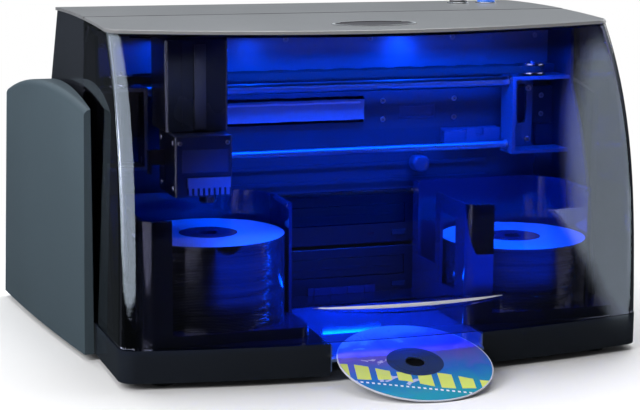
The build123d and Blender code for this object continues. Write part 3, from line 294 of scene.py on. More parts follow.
def moulded(name, colour, roughness, size=900, depth=0.1, coat=0.0):
    """Moulded plastic or smooth paint. Size and depth are its grain's, coat its gloss."""
    material, own, bsdf = painted(name)
    made = own.nodes.new("ShaderNodeGroup")
    made.node_tree = grain
    made.inputs["Colour"].default_value = (*colour, 1)
    made.inputs["Gloss roughness"].default_value = roughness
    made.inputs["Unevenness"].default_value = 0.1
    made.inputs["Grain size"].default_value = size
    made.inputs["Grain depth"].default_value = depth
    own.links.new(made.outputs["Colour"], bsdf.inputs["Base Color"])
    own.links.new(made.outputs["Roughness"], bsdf.inputs["Roughness"])
    own.links.new(made.outputs["Normal"], bsdf.inputs["Normal"])
    bsdf.inputs["Coat Weight"].default_value = coat
    bsdf.inputs["Coat Roughness"].default_value = 0.08
    return material


def dress(material, *names):
    for name in names:
        slots = nodes[name].data.materials
        slots.clear()
        slots.append(material)


def pick(test, kind="faces"):
    """In edit mode, select only the faces, edges or vertices that pass a test."""
    bpy.ops.mesh.select_all(action="DESELECT")
    mode = {"faces": "FACE", "edges": "EDGE", "verts": "VERT"}[kind]
    bpy.ops.mesh.select_mode(type=mode)
    form = bmesh.from_edit_mesh(bpy.context.object.data)
    for item in getattr(form, kind):
        if test(item):
            item.select_set(True)
    form.select_flush_mode()
    bmesh.update_edit_mesh(bpy.context.object.data)


def block(name, low, high, edge=0.0, steps=2):
    """A bevelled block between two corners, ready to be worked on."""
    low, high = Vector(low), Vector(high)
    bpy.ops.object.select_all(action="DESELECT")
    bpy.ops.mesh.primitive_cube_add(size=1, location=(low + high) / 2)
    made = bpy.context.object
    made.name = name
    made.scale = high - low
    bpy.ops.object.transform_apply(location=True, rotation=True, scale=True)
    if edge:
        bpy.ops.object.mode_set(mode="EDIT")
        bpy.ops.mesh.select_all(action="SELECT")
        bpy.ops.mesh.bevel(offset=edge, segments=steps)
        bpy.ops.object.mode_set(mode="OBJECT")
    return made


def finish_piece(made, material, body, smooth=35):
    """Apply its place, shade it, and hang it on its body."""
    bpy.ops.object.select_all(action="DESELECT")
    made.select_set(True)
    bpy.context.view_layer.objects.active = made
    bpy.ops.object.transform_apply(location=True, rotation=True, scale=True)
    bpy.ops.object.shade_smooth_by_angle(angle=math.radians(smooth))
    if material is not None:
        made.data.materials.clear()
        made.data.materials.append(material)
    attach(made, body)
    return made


dress(moulded("base_plastic", (0.012, 0.015, 0.022), 0.18, coat=0.3), "base_pan")

# ---- feet ----
# Four soft rubber feet, each with a stud that is pressed into the tray.
dress(moulded("feet_rubber", (0.015, 0.015, 0.016), 0.75, depth=0.4), "rubber_feet")

# ---- deck ----
# The glossy plate that closes the tray, where the bins stand in two shallow seats.
dress(moulded("deck_plastic", (0.012, 0.016, 0.028), 0.14, coat=0.4, depth=0.05), "deck")

# ---- output chute ----
# A glossy slide in a paler blue-grey, which carries a finished disc out to the front.
dress(moulded("chute_plastic", (0.10, 0.15, 0.30), 0.12, coat=0.6, depth=0.03), "output_chute")

# ---- screws ----
# Zinc-plated pan-head screws with a cross recess hold the sheet metal parts.
rubbed, given, result = node_group(
    "brush_marks",
    (("Roughness", "NodeSocketFloat", 0.25), ("Depth", "NodeSocketFloat", 0.1)),
    (("Roughness", "NodeSocketFloat"), ("Normal", "NodeSocketVector")),
)
stretch = rubbed.nodes.new("ShaderNodeMapping")
stretch.inputs["Scale"].default_value = (12, 900, 900)
feed(stretch.inputs["Vector"], rubbed.nodes.new("ShaderNodeTexCoord").outputs["Object"])
marks = noise(rubbed, stretch.outputs[0], 1, 3)
feed(result["Roughness"], reckon(rubbed, "MULTIPLY_ADD", marks, 0.12, given["Roughness"]))
feed(result["Normal"], relief(rubbed, marks, given["Depth"], 0.0002))


def bright_metal(name, colour, roughness, depth=0.1):
    """Bare metal, with brush marks of a given depth along x."""
    material, own, bsdf = painted(name)
    bsdf.inputs["Base Color"].default_value = (*colour, 1)
    bsdf.inputs["Metallic"].default_value = 1
    made = own.nodes.new("ShaderNodeGroup")
    made.node_tree = rubbed
    made.inputs["Roughness"].default_value = roughness
    made.inputs["Depth"].default_value = depth
    own.links.new(made.outputs["Roughness"], bsdf.inputs["Roughness"])
    own.links.new(made.outputs["Normal"], bsdf.inputs["Normal"])
    return material


screw_steel = bright_metal("screw_steel", (0.60, 0.60, 0.60), 0.25)
dress(screw_steel, "panel_screws")

# One head is turned from a bar, rounded, and its cross is pressed in with two blades.
bpy.ops.object.select_all(action="DESELECT")
head_rise = 0.0016
bpy.ops.mesh.primitive_cylinder_add(
    vertices=24, radius=0.003, depth=head_rise, location=(0, 0, head_rise / 2))
pan_head = bpy.context.object
pan_head.name = "pan_head"
bpy.ops.object.mode_set(mode="EDIT")
pick(lambda edge: all(v.co.z > 0.0007 for v in edge.verts) and len(edge.link_faces) == 2
     and any(len(f.verts) > 4 for f in edge.link_faces), "edges")
bpy.ops.mesh.bevel(offset=0.0008, segments=3)
bpy.ops.object.mode_set(mode="OBJECT")
for turn in (0, 90):
    blade = block("blade", (-0.0017, -0.0003, 0.0007), (0.0017, 0.0003, 0.003))
    blade.rotation_euler.z = math.radians(turn)
    cut = pan_head.modifiers.new("cross", "BOOLEAN")
    cut.operation = "DIFFERENCE"
    cut.object = blade
    bpy.ops.object.select_all(action="DESELECT")
    pan_head.select_set(True)
    bpy.context.view_layer.objects.active = pan_head
    bpy.ops.object.modifier_apply(modifier=cut.name)
    bpy.data.objects.remove(blade)


def drive_screws(name, places, facing, body, size=1.0):
    """Copies of the pan head, standing on a face that looks along facing."""
    copies = []
    turn = Vector(facing).to_track_quat("Z", "Y").to_matrix().to_4x4()
    for k, spot in enumerate(places):
        copy = bpy.data.objects.new(f"{name}_{k}", pan_head.data.copy())
        scene.collection.objects.link(copy)
        spin = Matrix.Rotation(math.radians(23 + 61 * k), 4, "Z")
        copy.matrix_world = Matrix.Translation(spot) @ turn @ spin @ Matrix.Scale(size, 4)
        copies.append(copy)
    bpy.ops.object.select_all(action="DESELECT")
    for copy in copies:
        copy.select_set(True)
    bpy.context.view_layer.objects.active = copies[0]
    if len(copies) > 1:
        bpy.ops.object.join()
    copies[0].name = name
    return finish_piece(copies[0], screw_steel, body, smooth=30)


# ---- drive cage ----
# Folded from zinc-plated sheet, screwed together from the sides.
sheet_zinc = bright_metal("sheet_zinc", (0.50, 0.51, 0.54), 0.30)
dress(sheet_zinc, "drive_cage", "rear_panel")
cage_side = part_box("drive_cage")[1][0]
drive_screws(
    "cage_screws",
    [Vector((cage_side, y, z)) for y in (0.05, 0.10, 0.15) for z in (0.048, 0.092)],
    (1, 0, 0), "housing", size=0.8,
)

# ---- optical drives ----
# Pressed steel cases with black plastic fronts. Each front has a door for its tray, with
# a raised strip along its middle, a key, and a small red window for its lamp.
dress(bright_metal("case_steel", (0.42, 0.43, 0.45), 0.33), "drive_bodies")
front_black = moulded("front_black", (0.018, 0.022, 0.034), 0.34, depth=0.2, coat=0.15)
dress(front_black, "drive_bezels")
tray_plastic = moulded("tray_plastic", (0.020, 0.022, 0.030), 0.30)
dress(tray_plastic, "drive_tray_lower", "drive_tray_upper")
key_black = moulded("key_black", (0.045, 0.050, 0.065), 0.26, coat=0.2)
dress(key_black, "eject_button_lower", "eject_button_upper")
window = moulded("window_red", (0.10, 0.02, 0.03), 0.12, coat=0.5)
for level_name in ("lower", "upper"):
    key_low, key_high = (Vector(corner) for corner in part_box("eject_button_" + level_name))
    front_y = key_low.y + 0.0015
    z = (key_low.z + key_high.z) / 2
    lens = block(f"drive_window_{level_name}", (0.0302, front_y - 0.0004, z - 0.0009),
                 (0.0358, front_y + 0.0009, z + 0.0009), 0.0003)
    finish_piece(lens, window, "housing")
    body = "tray_low" if level_name == "lower" else "tray_high"
    door_low = Vector(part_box("drive_tray_" + level_name)[0])
    rib = block(f"door_strip_{level_name}", (-0.052, door_low.y - 0.0004, door_low.z + 0.0070),
                (0.052, door_low.y + 0.0002, door_low.z + 0.0086), 0.0002)
    finish_piece(rib, front_black, body)

# ---- inner panels ----
# Painted sheet behind the bins, and a paler plated one above the print tray, which the
# lamps light from above.
dress(moulded("inner_paint", (0.045, 0.055, 0.085), 0.36, depth=0.2), "inner_fascia")
dress(moulded("upper_zinc", (0.24, 0.26, 0.32), 0.34, depth=0.15), "upper_fascia")
fascia_face = 0.0367
drive_screws(
    "fascia_screws",
    [Vector((x, fascia_face, z)) for x in (-0.19, -0.1125, -0.0375, 0.0375, 0.1125, 0.19)
     for z in (0.214, 0.243)],
    (0, -1, 0), "housing", size=0.8,
)

# ---- printer ----
# A bent steel chassis with a smoked window carries the print tray. The carriage and its
# cartridge stand on a ground shaft behind the upper panel.
frame_paint = moulded("frame_paint", (0.060, 0.070, 0.100), 0.36, depth=0.2)
dress(frame_paint, "printer_chassis", "rail_beam")
dress(moulded("print_tray_plastic", (0.26, 0.29, 0.37), 0.34), "printer_tray")
matt_black = moulded("matt_black", (0.012, 0.012, 0.015), 0.42, depth=0.2)
dress(matt_black, "print_carriage", "rear_ports")
dress(moulded("cartridge_plastic", (0.05, 0.05, 0.06), 0.3), "ink_cartridge")
ground_steel = bright_metal("ground_steel", (0.75, 0.76, 0.78), 0.10, 0.04)
dress(ground_steel, "carriage_guides")
tray_low, tray_high = (Vector(corner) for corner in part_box("printer_tray"))
lip = block("print_tray_lip", (tray_low.x + 0.004, tray_low.y - 0.0012, tray_high.z - 0.0030),
            (tray_high.x - 0.004, tray_low.y + 0.0003, tray_high.z - 0.0014), 0.0004)
finish_piece(lip, moulded("tray_edge", (0.60, 0.63, 0.72), 0.28), "print_tray")
window = block("chassis_window", (0.0601, 0.0252, 0.1761), (0.0919, 0.0264, 0.1879), 0.0003)
bpy.ops.object.mode_set(mode="EDIT")
pick(lambda face: face.normal.y < -0.9)
bpy.ops.mesh.inset(thickness=0.0016, depth=-0.0004)
bpy.ops.object.mode_set(mode="OBJECT")
window_smoke = moulded("window_smoke", (0.07, 0.09, 0.14), 0.28, coat=0.3)
finish_piece(window, window_smoke, "housing")
chassis_face = 0.02475
drive_screws(
    "chassis_screws",
    [Vector((x, chassis_face, z)) for x in (-0.192, 0.045, 0.110, 0.192) for z in (0.176, 0.192)],
    (0, -1, 0), "housing", size=0.8,
)

# ---- circuit boards ----
# Green lacquered boards with black chips.
dress(moulded("board_lacquer", (0.02, 0.12, 0.06), 0.3), "circuit_boards")

# ---- side frames ----
# Two steel cheeks, cut slanting in front, hold the rails, the shaft and the hinge.
cheek_paint = moulded("cheek_paint", (0.035, 0.040, 0.058), 0.34, depth=0.2)
dress(cheek_paint, "side_frame_left", "side_frame_right")

# ---- rails and brackets ----
# Two ground rails between folded brackets, with a toothed belt above them.
bracket_paint = moulded("bracket_paint", (0.12, 0.14, 0.19), 0.34, depth=0.2)
dress(bracket_paint, "bracket_left", "bracket_right")
dress(bright_metal("rail_steel", (0.78, 0.79, 0.82), 0.34, 0.05), "picker_rails")
dress(ground_steel, "belt_pulley_left", "belt_pulley_right")
dress(moulded("belt_rubber", (0.02, 0.02, 0.02), 0.7, depth=0.3), "picker_belt")
dress(moulded("motor_paint", (0.03, 0.03, 0.035), 0.36, depth=0.2), "picker_motor")
bracket_face = 0.01275
drive_screws(
    "bracket_screws",
    [Vector((x, bracket_face, z)) for x in (0.158, 0.174) for z in (0.156, 0.200)],
    (0, -1, 0), "housing", size=0.9,
)
# A snap ring holds each rail's end in its bracket.
ring_x, rail_y, wire_r = 0.1492, 0.002746, 0.0006
for k, (z, rail_r) in enumerate(((0.208, 0.004), (0.154, 0.003))):
    bpy.ops.object.select_all(action="DESELECT")
    bpy.ops.mesh.primitive_torus_add(
        major_segments=32, minor_segments=8, major_radius=rail_r + wire_r, minor_radius=wire_r,
        location=(ring_x, rail_y, z), rotation=(0, math.radians(90), 0),
    )
    ring = bpy.context.object
    ring.name = f"snap_ring_{k}"
    finish_piece(ring, screw_steel, "housing", smooth=60)

# ---- picker carriage ----
# A moulded block that slides on both rails in bronze sleeves.
carriage_plastic = moulded("carriage_plastic", (0.014, 0.015, 0.020), 0.36, depth=0.2)
dress(carriage_plastic, "picker_carriage", "picker_head")
dress(bright_metal("bronze", (0.72, 0.50, 0.24), 0.3), "rail_bushings")

# ---- picker column ----
# A tall glossy housing with a raised rib. The lead screw and two rods come out of its
# underside.
column_plastic = moulded("column_plastic", (0.020, 0.026, 0.040), 0.26, coat=0.35)
dress(column_plastic, "picker_column")
dress(ground_steel, "lift_screw", "guide_rods", "gripper_lever")
column_low, column_high = (Vector(corner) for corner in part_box("picker_column"))
rib = block("column_rib", (column_low.x + 0.0225, column_low.y - 0.0012, column_low.z + 0.002),
            (column_low.x + 0.0315, column_low.y + 0.0004, column_high.z - 0.004), 0.0005)
rib_plastic = moulded("rib_plastic", (0.05, 0.06, 0.085), 0.3, coat=0.2)
finish_piece(rib, rib_plastic, "carriage")

# ---- picker head ----
# A box-shaped cover on the head's frame, with a bare label plate and a pale toothed
# strip for the disc sensor.
head_plastic = moulded("head_plastic", (0.022, 0.028, 0.045), 0.30, coat=0.25)
dress(head_plastic, "head_cover")
dress(moulded("comb_plastic", (0.16, 0.18, 0.25), 0.4), "sensor_comb")
cover_low, cover_high = (Vector(corner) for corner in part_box("head_cover"))
label = block("head_label", (cover_low.x + 0.0055, cover_low.y - 0.0003, cover_low.z + 0.0190),
              (cover_high.x - 0.0035, cover_low.y + 0.0002, cover_high.z - 0.0105), 0.00015)
bpy.ops.object.mode_set(mode="EDIT")
pick(lambda edge: abs(edge.verts[0].co.y - edge.verts[1].co.y) > 0.0002, "edges")
bpy.ops.mesh.bevel(offset=0.0012, segments=4)
bpy.ops.object.mode_set(mode="OBJECT")
label_film = moulded("label_film", (0.050, 0.060, 0.095), 0.22, depth=0.02)
finish_piece(label, label_film, "head")
drive_screws(
    "head_screws",
    [Vector((cover_low.x + 0.004, cover_low.y, cover_high.z - 0.0055)),
     Vector((cover_high.x - 0.004, cover_low.y, cover_high.z - 0.0055))],
    (0, -1, 0), "head", size=0.6,
)
drive_screws(
    "head_side_screws",
    [Vector((cover_low.x, y, z)) for y in (cover_low.y + 0.008, cover_high.y - 0.008)
     for z in (cover_low.z + 0.006, cover_high.z - 0.006)],
    (-1, 0, 0), "head", size=0.7,
)

# ---- sensors ----
# Small grey-blue blocks that find the picker's place and the tray's.
dress(moulded("sensor_plastic", (0.10, 0.13, 0.20), 0.38, depth=0.2), "picker_sensors")

# ---- lamp boards ----
# Narrow boards with rows of blue lamps, one under the lid and one behind the chute. The
# upper row's lenses glow, and area lamps, most of them near the rows, throw the light.
lamp_board, tree, shader = painted("lamp_board")
shader.inputs["Base Color"].default_value = (0.03, 0.05, 0.12, 1)
shader.inputs["Roughness"].default_value = 0.3
shader.inputs["Emission Strength"].default_value = 0.8
lens_z, lens_half = 0.2500, 0.0008
axes = tree.nodes.new("ShaderNodeSeparateXYZ")
feed(axes.inputs[0], tree.nodes.new("ShaderNodeTexCoord").outputs["Object"])
lens = reckon(tree, "COMPARE", axes.outputs["Z"], lens_z, lens_half)
glow = blend(tree, lens, (0, 0, 0, 1), (0.04, 0.22, 1.0, 1), "RGBA")
feed(shader.inputs["Emission Color"], glow)
dress(lamp_board, "led_bars")
row, spot = (0.34, 0.006), (0.014, 0.006)
for name, place, aim, size, watts, glints in (
    ("blue_row", (-0.02, 0.0255, 0.2455), (-0.02, 0.0150, 0.10), row, 0.06, True),
    ("blue_spot", (0.064, 0.0225, 0.2450), (0.064, 0.030, 0.10), spot, 0.065, True),
    ("blue_side", (-0.070, 0.0225, 0.2450), (-0.066, 0.030, 0.10), spot, 0.024, True),
    ("blue_edge", (-0.152, 0.0225, 0.2450), (-0.150, 0.030, 0.10), spot, 0.020, True),
    ("blue_front", (0.03, -0.030, 0.2430), (0.03, -0.060, 0.03), (0.30, 0.02), 2.2, True),
    ("blue_fill", (0.0, -0.115, 0.11), (0.0, 0.05, 0.08), (0.28, 0.10), 0.85, False),
    ("blue_chute", (-0.002, -0.0350, 0.0480), (-0.002, -0.10, 0.018), (0.05, 0.004), 0.06, True),
):
    area_lamp(name, place, aim, size, watts, (0.0, 0.068, 1.0), True, glints)
area_lamp("soft_inside", (-0.15, -0.105, 0.225), (-0.13, -0.045, 0.10), (0.06, 0.06), 0.05,
          (0.8, 0.9, 1), True, False)

# ---- bins ----
# Smoked plastic wells, open in front, with a window in the left wall and a rolled rim.
bin_plastic = moulded("bin_plastic", (0.020, 0.032, 0.075), 0.12, coat=0.45, depth=0.04)
dress(bin_plastic, "bin_left", "bin_right")

# ---- disc stacks ----
# Blank printable discs of clear polycarbonate, 1.2 mm thick, with a white coat on top,
# a bare clear ring at the hub and a rounded rim each.
disc_t = 0.0012
disc_r = 0.060
hole_r = 0.0075
disc_edge, tree, shader = painted("disc_edge")
shader.inputs["Roughness"].default_value = 0.16
shader.inputs["Coat Weight"].default_value = 0.5
layers = tree.nodes.new("ShaderNodeMapping")
layers.inputs["Scale"].default_value = (4, 4, 260)
feed(layers.inputs["Vector"], tree.nodes.new("ShaderNodeTexCoord").outputs["Object"])
edge_tone = tree.nodes.new("ShaderNodeValToRGB")
dark_stop, pale_stop = edge_tone.color_ramp.elements
dark_stop.position, pale_stop.position = 0.3, 0.72
dark_stop.color = (0.008, 0.012, 0.028, 1)
pale_stop.color = (0.035, 0.045, 0.075, 1)
feed(edge_tone.inputs[0], noise(tree, layers.outputs[0], 1, 4))
feed(shader.inputs["Base Color"], edge_tone.outputs[0])
disc_coat = moulded("disc_coat", (0.74, 0.75, 0.80), 0.30, size=1600, depth=0.03)
clear_hub = moulded("clear_hub", (0.03, 0.05, 0.12), 0.08, coat=0.6, depth=0.02)


def lift_ring(rise):
    """Extrude the selected loop straight up, or down."""
    bpy.ops.mesh.extrude_edges_move(TRANSFORM_OT_translate={"value": (0, 0, rise)})


def scale_ring(factor):
    bpy.ops.transform.resize(value=(factor, factor, 1))


def face_rings(radii):
    """Extrude the selected loop inwards in the plane, to each radius in turn."""
    for previous, radius in zip(radii, radii[1:]):
        bpy.ops.mesh.extrude_edges_move()
        scale_ring(radius / previous)


def disc_side(name, vertices, inset, rises):
    """The rounded side of one disc, in edit mode, with its upper loop selected."""
    bpy.ops.object.select_all(action="DESELECT")
    bpy.ops.mesh.primitive_circle_add(vertices=vertices, radius=disc_r - inset)
    made = bpy.context.object
    made.name = name
    bpy.ops.object.mode_set(mode="EDIT")
    bpy.ops.mesh.select_all(action="SELECT")
    radius = disc_r - inset
    for next_radius, rise in zip((disc_r, disc_r, disc_r - inset), rises):
        lift_ring(rise)
        scale_ring(next_radius / radius)
        radius = next_radius
    return made


def close_disc():
    """Weld the loops that meet, turn the faces outwards and leave edit mode."""
    bpy.ops.mesh.select_all(action="SELECT")
    bpy.ops.mesh.remove_doubles(threshold=0.00003)
    bpy.ops.mesh.normals_make_consistent(inside=False)
    bpy.ops.object.mode_set(mode="OBJECT")


# A stacked disc: how far its rim is rounded, the edge of the white coat, the clear ring
# with its moulded ridge, and the depth of the grooves beside the ridge.
round_off, groove = 0.00035, 0.0001
coat_r, clear_r, ridge_r, land_r = 0.0585, 0.0230, 0.0178, 0.0164
slip = 0.00009  # no two discs lie quite on one line
for side, node in (("left", "disc_stack_left"), ("right", "disc_stack_right")):
    low, high = (Vector(corner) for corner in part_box(node))
    count = round((high.z - low.z) / disc_t)
    x, y = (low.x + high.x) / 2, (low.y + high.y) / 2
    pile = disc_side(f"disc_pile_{side}", 96, round_off, (0.00025, 0.00065, 0.0003))
    bpy.ops.object.mode_set(mode="OBJECT")
    rows = pile.modifiers.new("rows", "ARRAY")
    rows.count = count
    rows.use_relative_offset = False
    rows.use_constant_offset = True
    rows.constant_offset_displace = (0, 0, disc_t)
    rows.use_merge_vertices = True
    rows.merge_threshold = 0.00005
    bpy.ops.object.modifier_apply(modifier=rows.name)
    draw = random.Random(7 if side == "left" else 11)
    shifts = [(draw.uniform(-slip, slip), draw.uniform(-slip, slip)) for k in range(count + 1)]
    # The rims are shifted and the seams between them stay, so that the pile is one piece.
    for vertex in pile.data.vertices:
        k = min(int(vertex.co.z / disc_t + 0.02), count)
        seam = abs(vertex.co.z / disc_t - round(vertex.co.z / disc_t)) < 0.05
        if not seam:
            vertex.co.x += shifts[k][0]
            vertex.co.y += shifts[k][1]
    top = count * disc_t
    bpy.ops.object.mode_set(mode="EDIT")
    pick(lambda edge: all(v.co.z > top - 0.0001 for v in edge.verts), "edges")
    face_rings((disc_r - round_off, coat_r, clear_r))
    lift_ring(-groove)
    face_rings((clear_r, ridge_r))
    lift_ring(groove)
    face_rings((ridge_r, land_r))
    lift_ring(-groove)
    face_rings((land_r, hole_r))
    lift_ring(-top + groove)
    face_rings((hole_r, disc_r - round_off))
    close_disc()
    pile.location = (x, y, low.z)
    finish_piece(pile, None, "housing", smooth=25)
    for material in (disc_edge, disc_coat, clear_hub):
        pile.data.materials.append(material)
    for face in pile.data.polygons:
        reach = math.hypot(face.center.x - x, face.center.y - y)
        if face.center.z < high.z - 0.0003:
            face.material_index = 0
        elif reach > clear_r + 0.0002 and face.normal.z > 0.9:
            face.material_index = 1 if reach < coat_r + 0.0007 else 0
        else:
            face.material_index = 2
    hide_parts(node)

# ---- finished disc ----
# One printed disc in the chute: a bright wavy print up to a thin bare rim, and a clear
# ring at its hub. The print is a plain pattern of bands and bars.
disc_print, tree, shader = painted("disc_print")
shader.inputs["Roughness"].default_value = 0.22
shader.inputs["Coat Weight"].default_value = 0.4
out_low, out_high = (Vector(corner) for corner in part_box("output_disc"))
out_middle = (out_low + out_high) / 2
chute_lean = math.radians(14.1)
tilt = math.asin((out_high.z - out_low.z - disc_t * math.cos(chute_lean)) / (2 * disc_r))
centred = tree.nodes.new("ShaderNodeMapping")
centred.vector_type = "TEXTURE"
centred.inputs["Location"].default_value = out_middle
centred.inputs["Rotation"].default_value = (tilt, 0, math.radians(-12))
feed(centred.inputs["Vector"], tree.nodes.new("ShaderNodeTexCoord").outputs["Object"])
axes = tree.nodes.new("ShaderNodeSeparateXYZ")
feed(axes.inputs[0], centred.outputs[0])
across, along = axes.outputs["X"], axes.outputs["Y"]
haze = noise(tree, centred.outputs[0], 34, 3, 1.4)


def on_print(operation, *values):
    return reckon(tree, operation, *values)


def layer(below, mask, colour):
    """Lay a colour over the print where the mask says so."""
    return blend(tree, mask, below, (*colour, 1), "RGBA")


def waves(length):
    """A sine across the print that repeats after a length."""
    return on_print("SINE", on_print("MULTIPLY", across, 2 * math.pi / length))


ground = tree.nodes.new("ShaderNodeValToRGB")
for position, colour in (
    (0.0, (0.02, 0.30, 0.42)), (0.35, (0.03, 0.16, 0.55)), (0.62, (0.16, 0.12, 0.62)),
    (0.85, (0.42, 0.30, 0.80)), (1.0, (0.70, 0.66, 0.95)),
):
    stop = ground.color_ramp.elements.new(position)
    stop.color = (*colour, 1)
ground.color_ramp.elements.remove(ground.color_ramp.elements[0])
ground.color_ramp.elements.remove(ground.color_ramp.elements[-1])
drift = on_print("MULTIPLY_ADD", haze, 0.36, -0.18)
slope = on_print("MULTIPLY_ADD", across, -3.0, remap(tree, along, -0.05, 0.05))
feed(ground.inputs[0], on_print("ADD", slope, drift))
cloud_mask = on_print(
    "MULTIPLY", on_print("GREATER_THAN", haze, 0.60), on_print("LESS_THAN", across, 0.004))
colour = layer(ground.outputs[0], on_print("MULTIPLY", cloud_mask, 0.7), (0.72, 0.70, 0.98))
# A slanting row of rounded bars crosses the print below the hub, with dots below it.
row = on_print("MULTIPLY_ADD", across, 0.16, on_print("ADD", along, 0.026))
tall = on_print(
    "MULTIPLY_ADD", on_print("SINE", on_print("MULTIPLY", across, 97.0)), 0.0024, 0.0088)
in_row = on_print("LESS_THAN", on_print("ABSOLUTE", row), tall)
bars = on_print("MULTIPLY", in_row, on_print("GREATER_THAN", waves(0.0155), -0.55))
colour = layer(colour, bars, (0.72, 0.82, 0.16))
dots_row = on_print(
    "LESS_THAN", on_print("ABSOLUTE", on_print("ADD", row, 0.0150)), 0.0011)
dots = on_print("MULTIPLY", dots_row, on_print("GREATER_THAN", waves(0.0042), 0.0))
feed(shader.inputs["Base Color"], layer(colour, dots, (0.80, 0.86, 0.92)))
disc_rim = moulded("disc_rim", (0.62, 0.64, 0.72), 0.20, coat=0.3, depth=0.02)

# The same measures of the printed disc, whose print runs nearly to its rim.
round_off, groove = 0.0003, 0.00012
print_r, clear_r, ridge_r, land_r = 0.0590, 0.0220, 0.0180, 0.0168
printed = disc_side("printed_disc", 128, round_off, (0.00025, 0.0007, 0.00025))
face_rings((disc_r - round_off, print_r, clear_r, ridge_r))
lift_ring(-groove)
face_rings((ridge_r, land_r))
lift_ring(groove)
face_rings((land_r, hole_r + 0.0003, hole_r))
lift_ring(-disc_t)
face_rings((hole_r, disc_r - round_off))
close_disc()
for material in (disc_rim, disc_print, clear_hub):
    printed.data.materials.append(material)
for face in printed.data.polygons:
    reach = math.hypot(face.center.x, face.center.y)
    if face.normal.z > 0.5 and clear_r < reach < print_r:
        face.material_index = 1
    elif reach < clear_r and face.normal.z > -0.5:
        face.material_index = 2
lean = Matrix.Rotation(tilt, 4, "X") @ Matrix.Translation((0, 0, -disc_t / 2))
printed.matrix_world = Matrix.Translation(out_middle) @ lean
finish_piece(printed, None, "disc_out", smooth=25)
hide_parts("output_disc")

# ---- hood ----
# The opaque rear housing, in the same glossy plastic as the base but a little greyer.
dress(moulded("hood_plastic", (0.018, 0.020, 0.028), 0.24, coat=0.2), "rear_housing")

# ---- rear fittings ----
# A zinc-plated plate with a fan grille, the inlet and the data port. The fan hangs on
# four screws behind its grille.
dress(moulded("fan_plastic", (0.02, 0.02, 0.02), 0.45), "fan_frame", "fan_rotor")
plate_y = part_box("rear_panel")[1][1]
fan_low, fan_high = (Vector(corner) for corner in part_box("fan_frame"))
fan_middle = (fan_low + fan_high) / 2
bolt_off = 0.025  # from the fan's axis to each of its screws, both ways
drive_screws(
    "fan_screws",
    [Vector((fan_middle.x + dx, plate_y, fan_middle.z + dz))
     for dx in (-bolt_off, bolt_off) for dz in (-bolt_off, bolt_off)],
    (0, 1, 0), "housing", size=0.95,
)
inlet_flange, inlet_z = 0.0015, 0.071
drive_screws("inlet_screws",
             [Vector((x, plate_y + inlet_flange, inlet_z)) for x in (0.0848, 0.1152)],
             (0, 1, 0), "housing", size=0.55)
bpy.data.objects.remove(pan_head)  # every copy is in its place by now

# ---- side fairings ----
# Grey-blue wings, moulded with a fine satin grain and clipped to the sides of the body.
wing_plastic = moulded("wing_plastic", (0.056, 0.080, 0.098), 0.30, size=700, depth=0.12)
dress(wing_plastic, "fairing_left", "fairing_right")

# ---- lid panels ----
# Satin grey painted panels, one on the cover and one fixed behind it.
lid_paint = moulded("lid_paint", (0.185, 0.186, 0.195), 0.32, size=1400, depth=0.14, coat=0.15)
dress(lid_paint, "cover_top_panel", "rear_top_panel")

# ---- buttons ----
# Two round keys in raised rings. The second one is lit from below by a blue lamp.
dress(moulded("dark_key", (0.10, 0.10, 0.11), 0.2, coat=0.4), "power_button")
lit_key = moulded("lit_key", (0.05, 0.16, 0.60), 0.15, coat=0.4)
shader = lit_key.node_tree.nodes["Principled BSDF"]
shader.inputs["Emission Color"].default_value = (0.02, 0.14, 0.9, 1)
shader.inputs["Emission Strength"].default_value = 0.35
dress(lit_key, "pause_button")
ring_metal = bright_metal("ring_metal", (0.45, 0.46, 0.48), 0.2)
for node in ("power_button", "pause_button"):
    key_low, key_high = (Vector(corner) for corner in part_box(node))
    key_middle = (key_low + key_high) / 2
    bpy.ops.object.select_all(action="DESELECT")
    bpy.ops.mesh.primitive_torus_add(
        major_segments=48, minor_segments=10, major_radius=0.0091, minor_radius=0.0006,
        location=(key_middle.x, key_middle.y, key_high.z - 0.0028),
    )
    ring = bpy.context.object
    ring.name = "ring_of_" + node
    finish_piece(ring, ring_metal, "housing", smooth=60)

# ---- hinge ----
# Shouldered steel pins in the side frames carry the cover.
dress(ground_steel, "hinge_pins")

# ---- tinted cover ----
# One shell of grey-violet acrylic, 3 mm thick, which looks darker where it is seen
# edge on.
tint, tree, shader = painted("tinted_acrylic")
shader.inputs["Roughness"].default_value = 0.0
shader.inputs["IOR"].default_value = 1.45
shader.inputs["Transmission Weight"].default_value = 1.0
edge_on = tree.nodes.new("ShaderNodeLayerWeight")
edge_on.inputs["Blend"].default_value = 0.22
shades = blend(
    tree, edge_on.outputs["Facing"], (0.52, 0.48, 0.57, 1), (0.12, 0.11, 0.14, 1), "RGBA")
feed(shader.inputs["Base Color"], shades)
dress(tint, "front_cover")

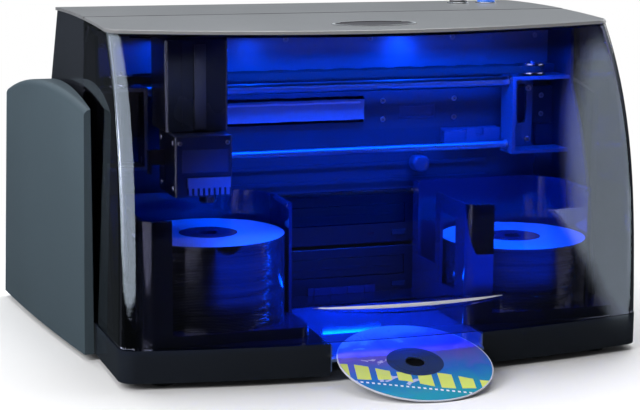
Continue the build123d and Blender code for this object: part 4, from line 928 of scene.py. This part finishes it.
# A thin pale spindle along the lip of its lifting ledge follows the bow of the front. It is a
# painted highlight: the light from above, reflected on the ledge's top, put in as a pale piece.
half_spindle, front_bow_r = 0.079, 0.293
bpy.ops.object.select_all(action="DESELECT")
bpy.ops.mesh.primitive_uv_sphere_add(
    segments=16, ring_count=64, radius=1, rotation=(0, math.pi / 2, 0))
ledge_highlight = bpy.context.object
ledge_highlight.name = "ledge_highlight"
bpy.ops.object.transform_apply(location=False, rotation=True, scale=False)
ledge_highlight.scale = (half_spindle, 0.0007, 0.0015)
bpy.ops.object.transform_apply(location=False, rotation=False, scale=True)
bow = ledge_highlight.modifiers.new("bow", "SIMPLE_DEFORM")
bow.deform_method = "BEND"
bow.deform_axis = "Z"
bow.angle = 2 * math.asin(half_spindle / front_bow_r)
bpy.ops.object.modifier_apply(modifier=bow.name)
ledge_highlight.location = (0.0060, -0.1547, 0.0583)
# A pale satin grey, the colour of the painted highlight on the ledge.
ledge_highlight_paint = moulded("ledge_highlight_paint", (0.80, 0.78, 0.80), 0.35)
finish_piece(ledge_highlight, ledge_highlight_paint, "cover")

# ---- badge ----
# A bare oval plate: dark lacquer inside a polished rim.
badge_low, badge_high = (Vector(corner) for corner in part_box("badge_plate"))
badge_middle = (badge_low + badge_high) / 2
badge, tree, shader = painted("badge_metal")
shader.inputs["Roughness"].default_value = 0.32
centred = tree.nodes.new("ShaderNodeMapping")
centred.vector_type = "TEXTURE"
centred.inputs["Location"].default_value = badge_middle
centred.inputs["Scale"].default_value = (
    (badge_high.x - badge_low.x) / 2, (badge_high.y - badge_low.y) / 2, 1000)
feed(centred.inputs["Vector"], tree.nodes.new("ShaderNodeTexCoord").outputs["Object"])
reach = tree.nodes.new("ShaderNodeVectorMath")
reach.operation = "LENGTH"
feed(reach.inputs[0], centred.outputs[0])
rim_mask = reckon(tree, "GREATER_THAN", reach.outputs["Value"], 0.93)
lacquer, rim = (0.03, 0.022, 0.026, 1), (0.90, 0.90, 0.92, 1)
feed(shader.inputs["Base Color"], blend(tree, rim_mask, lacquer, rim, "RGBA"))
feed(shader.inputs["Metallic"], rim_mask)
dress(badge, "badge_plate")
